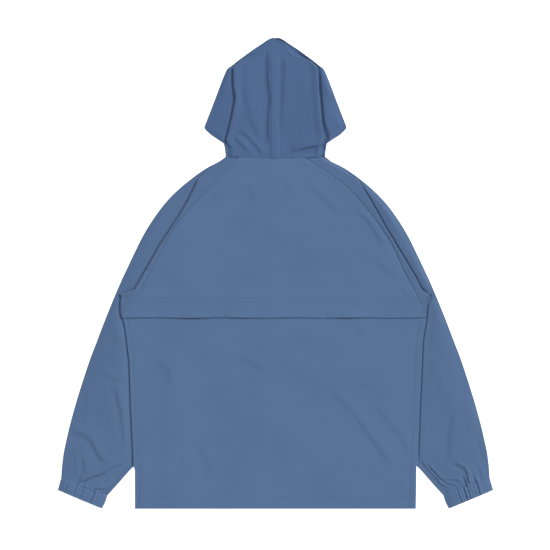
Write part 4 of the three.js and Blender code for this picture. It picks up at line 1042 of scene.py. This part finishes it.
def lower_sleeve_row(side, entry, above):
    """Points round a sleeve beside the body. Above is the row's part that has ended by then."""
    edge_y, inner_y, seam_y, end_y = entry
    above = above.copy()
    if seam_y:
        a = np.array([float(sleeve_seam[side](seam_y)), seam_y, FLAP, 0])
        b = np.array([float(body_side[side](end_y)) - SEAM, end_y, FLAP, 0])
        above[: SLEEVE_TOP + 1] = a + (b - a) * np.linspace(0, 1, SLEEVE_TOP + 1)[:, None]
    outer = np.array([float(sleeve_edge(edge_y)), edge_y])
    inner = np.array([float(sleeve_inner(inner_y)), inner_y])
    width = np.linalg.norm(outer - inner)
    direction = (outer - inner) / width
    shown = crossing(outer, direction[1] / direction[0], body_side[side], inner[0] - 1)
    turned = edge_turn(width, UNDER, FLOOR, SLEEVE_TURN)
    end = turned[0, 0]
    hidden = min(max(np.linalg.norm(inner - shown) + 5, 5), end - 6)
    first = max(hidden, SLEEVE_SEAM_IN + 2)
    loft = min(SLEEVE_LOFT[side], LOFT_PER_WIDTH * max(end - hidden, 0))
    flat = np.linspace(SLEEVE_SEAM_IN, first, 11)
    if first > SLEEVE_SEAM_IN + 10:
        flat = np.concatenate([np.linspace(SLEEVE_SEAM_IN, first - 6, 5), np.linspace(first - 5, first, 6)])
    rest = np.linspace(first, end, SLEEVE_UPPER - 9)[1:]
    s_up = np.concatenate([flat, rest])
    share = np.clip((s_up - hidden) / (end - hidden), 0, 1)
    puff = loft * np.sin(math.pi * share ** LOFT_SHIFT[side])
    if hidden > SLEEVE_SEAM_IN + 8:
        puff = puff + stand_up(s_up, hidden - 5, end, SIDE_SLIT[side])
    weight = smoothstep((s_up - hidden) / 12) * smoothstep((end - s_up) / EDGE_FADE)
    z_up = UNDER + puff - 0.35 * bell(s_up - SLEEVE_SEAM_IN, SEAM_HALF) * (hidden < HIDDEN_LIMIT)
    under_end = turned[-1, 0]
    s_low = under_end + (2 - under_end) * np.linspace(0, 1, SLEEVE_LOWER + 1)[1:]
    ring = np.linspace(0, math.pi, SLEEVE_INNER_TURN - 3)[1:]
    radius = (UNDER - FLOOR) / 2
    s_ring = radius + WALL / 2 - radius * np.sin(ring)
    z_ring = FLOOR + radius * (1 - np.cos(ring))
    s_top = np.linspace(s_ring[-1], SLEEVE_SEAM_IN - 0.2, 5)[1:]
    s_inner = np.concatenate([s_ring, s_top])
    z_inner = np.concatenate([z_ring, UNDER + 0 * s_top])
    z_inner[-1] -= 0.3 * (hidden < HIDDEN_LIMIT)
    return np.concatenate([above, point_rows(inner, direction, [
        (s_up, z_up, weight), (turned[1:, 0], turned[1:, 1], 0), (s_low, FLOOR, 0),
        (s_inner, z_inner, 0),
    ])])


def sleeve(side):
    rows = [pleat_row(side, entry) for entry in SLEEVE_PLEAT]
    pleat_rows = len(rows)
    tube = SLEEVE_TOP + SLEEVE_PLEAT_RUN - 1
    for entry in LOWER_SLEEVE:
        rows.append(lower_sleeve_row(side, entry, rows[-1][:tube]))

    spacing = [FINE_SPACING if row[..., 1].mean() < FINE_BELOW_Y else SLEEVE_SPACING for row in rows]
    grid, strips = refine(np.array(rows), spacing)
    x, y, weight = grid[..., 0], grid[..., 1], grid[..., 3]
    world_x = SIGN[side] * x
    relief = crease_field(world_x, y, SLEEVE_CREASES[side]) + fold_field(world_x, y, SLEEVE_FOLDS[side])
    relief += undulation(world_x, y, 81, 130, 0.5) + undulation(world_x, y, 82, 45, 0.14)
    relief = within(relief, SLEEVE_ROOM) + sleeve_gathers(x, y, side)
    surface = grid[..., :3].copy()
    surface[..., 2] += weight * relief
    columns = grid.shape[1]
    present = np.ones((len(grid) - 1, columns - 1), bool)
    tips = sum(1 for row in LOWER_SLEEVE if row[2])
    lower_strip = strips >= pleat_rows - 1
    present[lower_strip, :tube] = False
    present[lower_strip & (strips < pleat_rows - 1 + tips), :SLEEVE_TOP] = True
    bottom_end = columns - SLEEVE_INNER_TURN - 1
    present[~lower_strip, bottom_end:] = False
    # the sleeve is given the cloth with the painted shade
    cloth(f"sleeve_{side}_cloth", mirrored(surface, side), sleeve_shell_painted_shade, [f"sleeve_{side}"],
          present=present)


def cuff(side):
    columns, under_columns, cuff_rows = 190, 60, 12
    inset = WALL / 2 + (UNDER - FLOOR) / 2
    middle = (UNDER + FLOOR) / 2
    rows = []
    for share in np.linspace(0, 1, cuff_rows):
        outer, inner = cuff_ends(share)
        width = np.linalg.norm(outer - inner)
        direction = (outer - inner) / width
        s = np.linspace(inset, width - inset, columns)
        across = s / width
        wave = cuff_wave(across + 0.006 * math.sin(5 * share + (1 if side == "left" else 3)), side)
        elastic = 0.25 * math.cos(share * math.pi * 6)
        height = CUFF_LOFT * np.sin(math.pi * across) ** 0.5
        inside = np.minimum(1, 8 * across * (1 - across))
        tucked = SEAM_TUCK * (1 - smoothstep(share / 0.16))
        z = UNDER + height * (0.85 + 0.15 * math.sin(math.pi * share))
        z = z + (CUFF_GATHER + elastic) * wave * inside - 0.4 - tucked
        top = row_of(s, z)
        s_low = np.linspace(width - inset, inset, under_columns)
        z_low = FLOOR + UNDER_GATHER * cuff_wave(1 - s_low / width, side)
        bottom = row_of(s_low, z_low)
        section = np.concatenate([top, [[width - WALL / 2, middle]], bottom, [[WALL / 2, middle]]])
        along, level = section.T
        rows.append(row_of(inner[0] + direction[0] * along, inner[1] + direction[1] * along, level))
    cloth(f"cuff_{side}_cloth", mirrored(np.array(rows), side), shell, [f"cuff_{side}"], ring=True,
          thickness=CUFF_CLOTH)


# points across a hood half: on its middle, fold, wing, outer edge and the front below it
HOOD_INNER, HOOD_RUN, HOOD_WING, HOOD_TURN, HOOD_FRONT = 60, 14, 26, 7, 16
HOOD_SPACING = 2.8  # between rows
HOOD_TOP_Y = 988
HOOD_TIP_Y = 801  # only from here down does the edge turn under to the front
HOOD_ROOM = 3.4  # its troughs stay less deep than this
HOOD_FRONT_ROWS = (722, 708, 694, 682, 672, 664, 657.5)  # below the neck seam
# At the shoulder the hood laps behind the front: where, over what reach, how far and how high.
NECK_LAP_Y, NECK_LAP_REACH, NECK_LAP, NECK_LAP_RISE = 712, 23, 4.2, 1.2
BAND_X, BAND_HALF, BAND_RISE = -1.4, 8.8, 0.55  # the raised band over the centre seam
HOOD_SAG, SAG_X, SAG_RUN = 1.4, 28, 34  # the middle sinks this far up to x, less over the run
HOOD_RIDGE, RIDGE_REACH = 1.2, 11  # and the centre seam stands above it
CENTRE_GROOVE, CENTRE_GROOVE_HALF = 0.7, 1.0


def hood_row(side, entry):
    """Points across a hood half, from the centre seam round its edge to the opening."""
    sign = SIGN[side]
    y, fold_x, turned_by, depth = entry[0], entry[1 + SIDES.index(side)], *entry[3:]
    seam_x = sign * CENTRE_SEAM_X + 0.1
    low = FLOOR + (UNDER - FLOOR) * smoothstep((850 - y) / 50)
    fall = smoothstep((HOOD_TOP_Y - y) / 60)
    sides = low + (BACK - low) * fall
    rise = smoothstep((NECK_Y + 40 - y) / 40)
    edge = float(hood_edge(y))
    middle = low + (sides - low) * (TUCK - UNDER) / (BACK - UNDER)
    fold_lift = HOOD_FOLD_LIFT * float(smoothstep(turned_by / 180))
    run = fold_run(sides + fold_lift, middle, low, turned_by, depth, fold_x * 0.4)
    run_start = fold_x + run[0, 0]
    share = np.linspace(0, 1, HOOD_INNER + 1)[:-1] ** 1.35
    x = seam_x + (run_start - seam_x) * share
    offset = x * sign - CENTRE_SEAM_X
    sag = HOOD_SAG * (1 - smoothstep((np.abs(x * sign) - SAG_X) / SAG_RUN)) * (1 - rise) * fall
    ridge = HOOD_RIDGE * bump(np.abs(offset), RIDGE_REACH) * fall
    z = sides - sag + ridge + fold_lift * smoothstep((x - run_start + 16) / 16)
    weight = smoothstep((run_start - x) / 8) * fall
    turned = edge_turn(edge, low, max(low - PITCH, FLOOR), HOOD_TURN)
    run_x = fold_x + run[:, 0]
    wing_x = np.linspace(run_x[-1], turned[0, 0], HOOD_WING + 1)[1:]
    if turned[0, 0] > fold_x + 12:
        wing_x = np.concatenate([
            np.linspace(run_x[-1], fold_x, 5)[1:], np.linspace(fold_x + 1, fold_x + 9, 9),
            np.linspace(fold_x + 9, turned[0, 0], HOOD_WING - 12)[1:],
        ])
    wing_share = (wing_x - run_x[-1]) / (turned[0, 0] - run_x[-1])
    gap_start, gap_run, gap_rise = WING_SLIT[side]
    gap_start += 4 * float(smoothstep((812 - y) / 25)) * (side == "right")
    beside_fold = smoothstep((wing_x - fold_x - gap_start) / gap_run)
    beside_fold *= bell(np.maximum(wing_x - fold_x - gap_start - gap_run, 0), 16)
    wing_z = low + gap_rise * beside_fold * smoothstep((turned[0, 0] - wing_x) / 10) * lies_flat(turned_by)
    wing_weight = smoothstep(wing_share / 0.4) * smoothstep((1 - wing_share) / 0.25)
    under = turned[-1, 0]
    front_x = np.linspace(under, min(float(hood_opening(y)), under - 1), HOOD_FRONT + 1)[1:]
    row = np.concatenate([
        row_of(x, y, z, weight),
        row_of(run_x, y, run[:, 1], 0),
        row_of(wing_x, y, wing_z, wing_weight),
        row_of(turned[1:, 0], y, turned[1:, 1], 0),
        row_of(front_x, y, FLOOR + slider_lift(front_x, y), 0),
    ])
    if y == NECK_Y:
        row[:, 1] += neck_seam(row[:, 0]) - NECK_Y + 0.1 - 1.8 * smoothstep((row[:, 0] - 82) / 12)
    return row


def hood(side):
    rows = [hood_row(side, entry) for entry in HOOD_FOLD]
    neck_row = len(rows) - 1
    turn_start = HOOD_INNER + HOOD_RUN + HOOD_WING
    front_start = turn_start + HOOD_TURN - 1
    for y in HOOD_FRONT_ROWS:
        row = rows[neck_row].copy()
        behind = NECK_LAP * bump(abs(y - NECK_LAP_Y), NECK_LAP_REACH)
        x = np.linspace(float(front_neck(y)) - SEAM + behind, float(hood_opening(y)), HOOD_FRONT)
        raised = NECK_LAP_RISE * smoothstep((x - float(front_neck(y)) + 5) / 5) * min(behind, 1)
        row[front_start:] = row_of(x, y, FLOOR + slider_lift(x, y) + raised, 0)
        rows.append(row)
    grid, strips = refine(np.array(rows), [HOOD_SPACING] * len(rows))
    x, y, weight = grid[..., 0], grid[..., 1], grid[..., 3]
    world_x = SIGN[side] * x
    relief = crease_field(world_x, y, HOOD_CREASES) + undulation(world_x, y, 41, 90, 0.3)
    relief += fold_field(world_x, y, HOOD_FOLDS)
    relief += undulation(world_x, y, 42, 34, 0.1)
    band = BAND_RISE * smoothstep((BAND_HALF - np.abs(world_x - BAND_X)) / 2.2)
    calm = smoothstep((y - NECK_Y - 1) / 10)
    surface = grid[..., :3].copy()
    surface[..., 2] += weight * (within(relief, HOOD_ROOM) * calm + band)
    wing_columns = slice(HOOD_INNER + HOOD_RUN, turn_start)
    wing_lift = np.zeros_like(x)
    wing_lift[:, wing_columns] = WING_LIFT[side] * WING_RISE[side](np.linspace(0.3, 1.5, HOOD_WING))
    surface[..., 2] += wing_lift * weight * (1 + undulation(world_x, y, 43, 60, 0.4))
    seam = np.zeros_like(x)
    seam[:, :HOOD_INNER] = bell(world_x[:, :HOOD_INNER] - CENTRE_SEAM_X, CENTRE_GROOVE_HALF)
    surface[..., 2] -= CENTRE_GROOVE * seam
    at_neck = np.zeros_like(x)
    upper = slice(0, HOOD_INNER + HOOD_RUN)
    at_neck[:, upper] = bell(y[:, upper] - neck_seam(x[:, upper]), 1.6)
    deeper = 0.6 + 0.8 * smoothstep((np.abs(x) - 60) / 25)
    surface[..., 2] -= at_neck * deeper
    columns = grid.shape[1]
    present = np.ones((len(grid) - 1, columns - 1), bool)
    tip_row = next(n for n, entry in enumerate(HOOD_FOLD) if entry[0] <= HOOD_TIP_Y)
    present[strips < tip_row, turn_start:] = False
    present[strips >= neck_row, :front_start] = False
    # the hood is given the cloth with the painted shade
    cloth(f"hood_{side}_cloth", mirrored(surface, side), hood_shell_painted_shade, [f"hood_{side}"],
          present=present)


back_yoke()
back_lower()
for side in SIDES:
    front(side)
    sleeve(side)
    cuff(side)
    hood(side)


# ---- sewing ----

# where rows of stitches begin and end
HEM_STITCHES_X = 291  # both ways from the centre on the back
FRONT_HEM_STITCHES_X = (290, 9)
NECK_STITCHES_X = 88
CENTRE_STITCHES_Y = (746, 968)
HOOD_EDGE_STITCHES_Y = (984, 778)
OPENING_STITCHES_Y = (796, 664)
ZIP_STITCHES_Y = (26, 648)
FIRST_STITCH = 0.5
LONGEST_STITCH = 1.6  # in stitch lengths; a longer one would cross a step in the cloth
CUFF_STITCHES = (0.3, 0.7)  # shares of the way from the cuff's seam to its hem
TACK_THREADS, TACK_PITCH, TACK_HALF = 15, 0.55, 1.2  # a bartack's threads lie across it


def thread_mesh(name, stitches, radius=0.22, sides=4):
    """Short lengths of thread, each from one point over a middle height to another."""
    points, faces = [], []
    stations = ((0.0, 0.35), (0.18, 1.0), (0.82, 1.0), (1.0, 0.35))
    for start, end, up in stitches:
        along = (end - start) / max(np.linalg.norm(end - start), 1e-9)
        across = np.cross(along, up)
        across /= max(np.linalg.norm(across), 1e-9)
        over = np.cross(across, along)
        first = len(points)
        for share, size in stations:
            centre = start + (end - start) * share
            centre = centre + up * (radius * 0.7 if size == 1.0 else -radius * 0.5)
            for n in range(sides):
                angle = 2 * math.pi * n / sides + math.pi / 4
                outward = across * math.cos(angle) + over * math.sin(angle)
                points.append(centre + radius * size * outward)
        for ring in range(len(stations) - 1):
            for n in range(sides):
                a, b = first + ring * sides + n, first + ring * sides + (n + 1) % sides
                faces.append((a, b, b + sides, a + sides))
    mesh_object(name, points, faces, thread, smooth_to=0)


def surfaces(names):
    """Search trees of the pieces' surfaces."""
    trees = []
    for name in names:
        mesh = pieces[name].data
        points = [tuple(v.co) for v in mesh.vertices]
        trees.append(BVHTree.FromPolygons(points, [tuple(p.vertices) for p in mesh.polygons]))
    return trees


def on_surface(trees, x, y, above):
    """The outermost point of the cloth over or under a place, and its normal."""
    sign = 1 if above else -1
    origin = Vector((x / 1000, (y - MIDDLE_Y) / 1000, 0.05 * sign))
    best = None
    for tree in trees:
        place, normal, _, _ = tree.ray_cast(origin, Vector((0, 0, -sign)))
        if place is not None and (best is None or place.z * sign > best[0].z * sign):
            best = (place, normal)
    if best is None:
        return None
    place, normal = best
    if normal.z * sign < 0:
        normal = -normal
    return np.array([place.x * 1000, place.y * 1000 + MIDDLE_Y, place.z * 1000]), np.array(normal)


def stitch_row(trees, path, above=True, pitch=3.4, length=2.5):
    """Stitches along a path, where both ends find cloth."""
    path = np.array(path, float)
    lengths = np.hypot(*np.diff(path, axis=0).T)
    along = np.concatenate([[0], np.cumsum(lengths)])
    made = []
    for start in np.arange(FIRST_STITCH, along[-1] - length, pitch):
        ends = []
        for s in (start, start + length):
            x, y = (float(np.interp(s, along, path[:, n])) for n in range(2))
            ends.append(on_surface(trees, x, y, above))
        if ends[0] is None or ends[1] is None:
            continue
        (a, up), (b, _) = ends
        if np.linalg.norm(b - a) < LONGEST_STITCH * length:
            made.append((a, b, up))
    return made


def inward(path, distance):
    """The path moved square to itself, to its left."""
    path = np.array(path, float)
    run = np.gradient(path, axis=0)
    run /= np.linalg.norm(run, axis=1, keepdims=True)
    return path + distance * row_of(-run[:, 1], run[:, 0])


def sewing():
    back = surfaces(["back_yoke_cloth", "back_lower_cloth"] + [
        f"{part}_{side}_cloth" for part in ("sleeve", "front") for side in SIDES])
    hood_trees = surfaces([f"hood_{side}_cloth" for side in SIDES])
    rows = []
    for y in FLAP_STITCHES:
        left, right = (float(body_side[side](y)) - 4 for side in SIDES)
        rows += stitch_row(back, [(-left, y), (right, y)])
    thread_mesh("flap_stitching", rows)

    rows = []
    for y in HEM_STITCHES:
        rows += stitch_row(back, [(-HEM_STITCHES_X, y), (HEM_STITCHES_X, y)])
        for side in SIGN.values():
            rows += stitch_row(back, [(side * x, y) for x in FRONT_HEM_STITCHES_X], above=False)
    thread_mesh("hem_stitching", rows)

    rows = []
    for x in BARTACKS:
        for n in range(TACK_THREADS):
            y = FLAP_EDGE_Y + 1.2 + TACK_PITCH * n
            ends = [on_surface(back, x + d, y + 0.15 * d, True) for d in (-TACK_HALF, TACK_HALF)]
            rows.append((ends[0][0], ends[1][0], ends[0][1]))
    thread_mesh("flap_bartacks", rows, radius=0.3)

    rows = []
    x = np.linspace(-NECK_STITCHES_X, NECK_STITCHES_X, 60)
    rows += stitch_row(hood_trees, row_of(x, neck_seam(x) + 10))
    rows += stitch_row(hood_trees, [(CENTRE_SEAM_X + 6, y) for y in CENTRE_STITCHES_Y])
    y = np.linspace(*HOOD_EDGE_STITCHES_Y, 140)
    for side in SIGN.values():
        edge = row_of(side * hood_edge(y), y)
        rows += stitch_row(hood_trees, inward(edge, side * -6.0))
    y = np.linspace(*OPENING_STITCHES_Y, 90)
    for side in SIGN.values():
        opening = row_of(side * hood_opening(y), y)
        rows += stitch_row(hood_trees, inward(opening, side * 7.0), above=False)
    thread_mesh("hood_stitching", rows)

    rows = []
    for side in SIGN.values():
        for x in (ZIP_GAP + 2, TAPE_OUT + 2):
            rows += stitch_row(back, [(side * x, y) for y in ZIP_STITCHES_Y], above=False)
    thread_mesh("zip_stitching", rows)

    rows = []
    for name, side in SIGN.items():
        trees = surfaces([f"cuff_{name}_cloth"])
        for share in CUFF_STITCHES:
            outer, inner = cuff_ends(share)
            path = np.linspace(inner, outer, 20)[1:-1] * np.array([side, 1])
            for above in (True, False):
                rows += stitch_row(trees, path, above=above, pitch=3.0, length=2.2)
    thread_mesh("cuff_stitching", rows)


# ---- zip ----

TOOTH_PITCH = 1.35
# x towards the other tape, half width, half height
TOOTH_SECTIONS = (
    (-3.0, 0.55, 0.75), (-2.6, 0.75, 0.95), (-0.4, 0.6, 0.8), (0.5, 0.7, 0.85),
    (1.1, 1.0, 0.9), (1.35, 0.7, 0.6),
)


def zip_tapes():
    heights = steps(ZIP_START_Y, SLIDER_Y + 10, 4)
    x = np.array([TAPE_IN, TAPE_IN + 0.6, TAPE_IN + 1.5, 7, 10, 13, 14.6, 15.4, TAPE_OUT])
    ribs = np.array([0.25, 0.35, 0.1, 0, 0, 0, 0, 0.1, 0])
    grid = np.array([
        row_of(x, y, ZIP_LEVEL + slider_lift(x, y) + ribs) for y in heights
    ])
    for side in SIDES:
        cloth(f"zip_tape_{side}_cloth", mirrored(grid, side), tape_weave, [f"zip_tape_{side}"],
              thickness=TAPE_CLOTH)


def zip_teeth():
    """Moulded teeth from both tapes in turn, each with a neck and a wider head."""
    points, faces = [], []
    count = int((SLIDER_Y - 4 - ZIP_START_Y) / TOOTH_PITCH)
    for number in range(count):
        y = ZIP_START_Y + 0.8 + TOOTH_PITCH * number
        side = 1 if number % 2 else -1
        level = ZIP_LEVEL + float(slider_lift(0, y))
        first = len(points)
        for x, half_y, half_z in TOOTH_SECTIONS:
            for n in range(8):
                angle = math.pi / 8 + n * math.pi / 4
                along = 0.62 * half_y * math.cos(angle) * 1.1
                points.append((-side * x, y + along, level + half_z * math.sin(angle)))
        for ring in range(len(TOOTH_SECTIONS) - 1):
            for n in range(8):
                a, b = first + 8 * ring + n, first + 8 * ring + (n + 1) % 8
                faces.append((a, b, b + 8, a + 8))
        for ring in (0, len(TOOTH_SECTIONS) - 1):
            base = first + 8 * ring
            for corners in ((0, 1, 2, 3), (0, 3, 4, 7), (4, 5, 6, 7)):
                faces.append(tuple(base + corner for corner in corners))
    mesh_object("zip_teeth", points, faces, teeth_plastic, ["zip_chain"])


sewing()
zip_tapes()
zip_teeth()
for name, better in (("zip_slider", metal), ("zip_pull", metal), ("zip_box", teeth_plastic)):
    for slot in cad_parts[name].material_slots:
        slot.link = "OBJECT"
        slot.material = better


# ---- stage ----

FLOOR_REACH = 4  # metres, from here on
FLOOR_BELOW = 0.0004
ROOM_LIGHT = 0.42
# name, strength, width in the sky in degrees, place
SOFTBOXES = (("key", 2.75, 22, (1.6, 1.15, 1.6)), ("overhead", 0.6, 60, (-0.4, -0.5, 2.0)))
CAMERA_PLACE = (-0.001, -0.0037, 6.0)
VIEW_WIDTH = 1.155
SENSOR_WIDTH = 36  # millimetres


def softbox(name, strength, spread, place):
    """Even light from far away, as wide in the sky as spread says."""
    data = bpy.data.lights.new(name, "SUN")
    data.energy = strength
    data.angle = math.radians(spread)
    lamp = bpy.data.objects.new(name, data)
    lamp.location = place
    lamp.rotation_euler = (-Vector(place)).to_track_quat("-Z", "Y").to_euler()
    bpy.context.scene.collection.objects.link(lamp)


def stage():
    scene = bpy.context.scene
    scene.view_settings.view_transform = "Standard"
    floor_mesh = bpy.data.meshes.new("floor")
    square = ((-1, -1), (1, -1), (1, 1), (-1, 1))
    corners = [(x * FLOOR_REACH, y * FLOOR_REACH, -FLOOR_BELOW) for x, y in square]
    floor_mesh.from_pydata(corners, [], [(0, 1, 2, 3)])
    floor = bpy.data.objects.new("floor", floor_mesh)
    scene.collection.objects.link(floor)
    paper = new_material("pale_floor", {
        "Base Color": (0.9, 0.9, 0.9, 1), "Emission Color": (1, 1, 1, 1), "Emission Strength": 0.7,
        "Roughness": 0.9, "Specular IOR Level": 0.1,
    })[0]
    floor_mesh.materials.append(paper)

    world = bpy.data.worlds.new("studio")
    scene.world = world
    world.use_nodes = True
    world.node_tree.nodes["Background"].inputs["Color"].default_value = (1, 1, 1, 1)
    world.node_tree.nodes["Background"].inputs["Strength"].default_value = ROOM_LIGHT
    for lamp in SOFTBOXES:
        softbox(*lamp)

    lens = bpy.data.cameras.new("camera")
    lens.sensor_width = SENSOR_WIDTH
    lens.lens = SENSOR_WIDTH * CAMERA_PLACE[2] / VIEW_WIDTH
    lens.clip_end = 30
    camera = bpy.data.objects.new("camera", lens)
    camera.location = CAMERA_PLACE
    scene.collection.objects.link(camera)
    scene.camera = camera


# ---- the panels' names ----

def declare_cloth():
    """Makes a list of the panels' names, and does nothing with it."""
    panels = [f"{part}_{side}_cloth" for part in ("front", "sleeve") for side in SIDES]
    panels = ["back_lower_cloth", *panels]


declare_cloth()
stage()
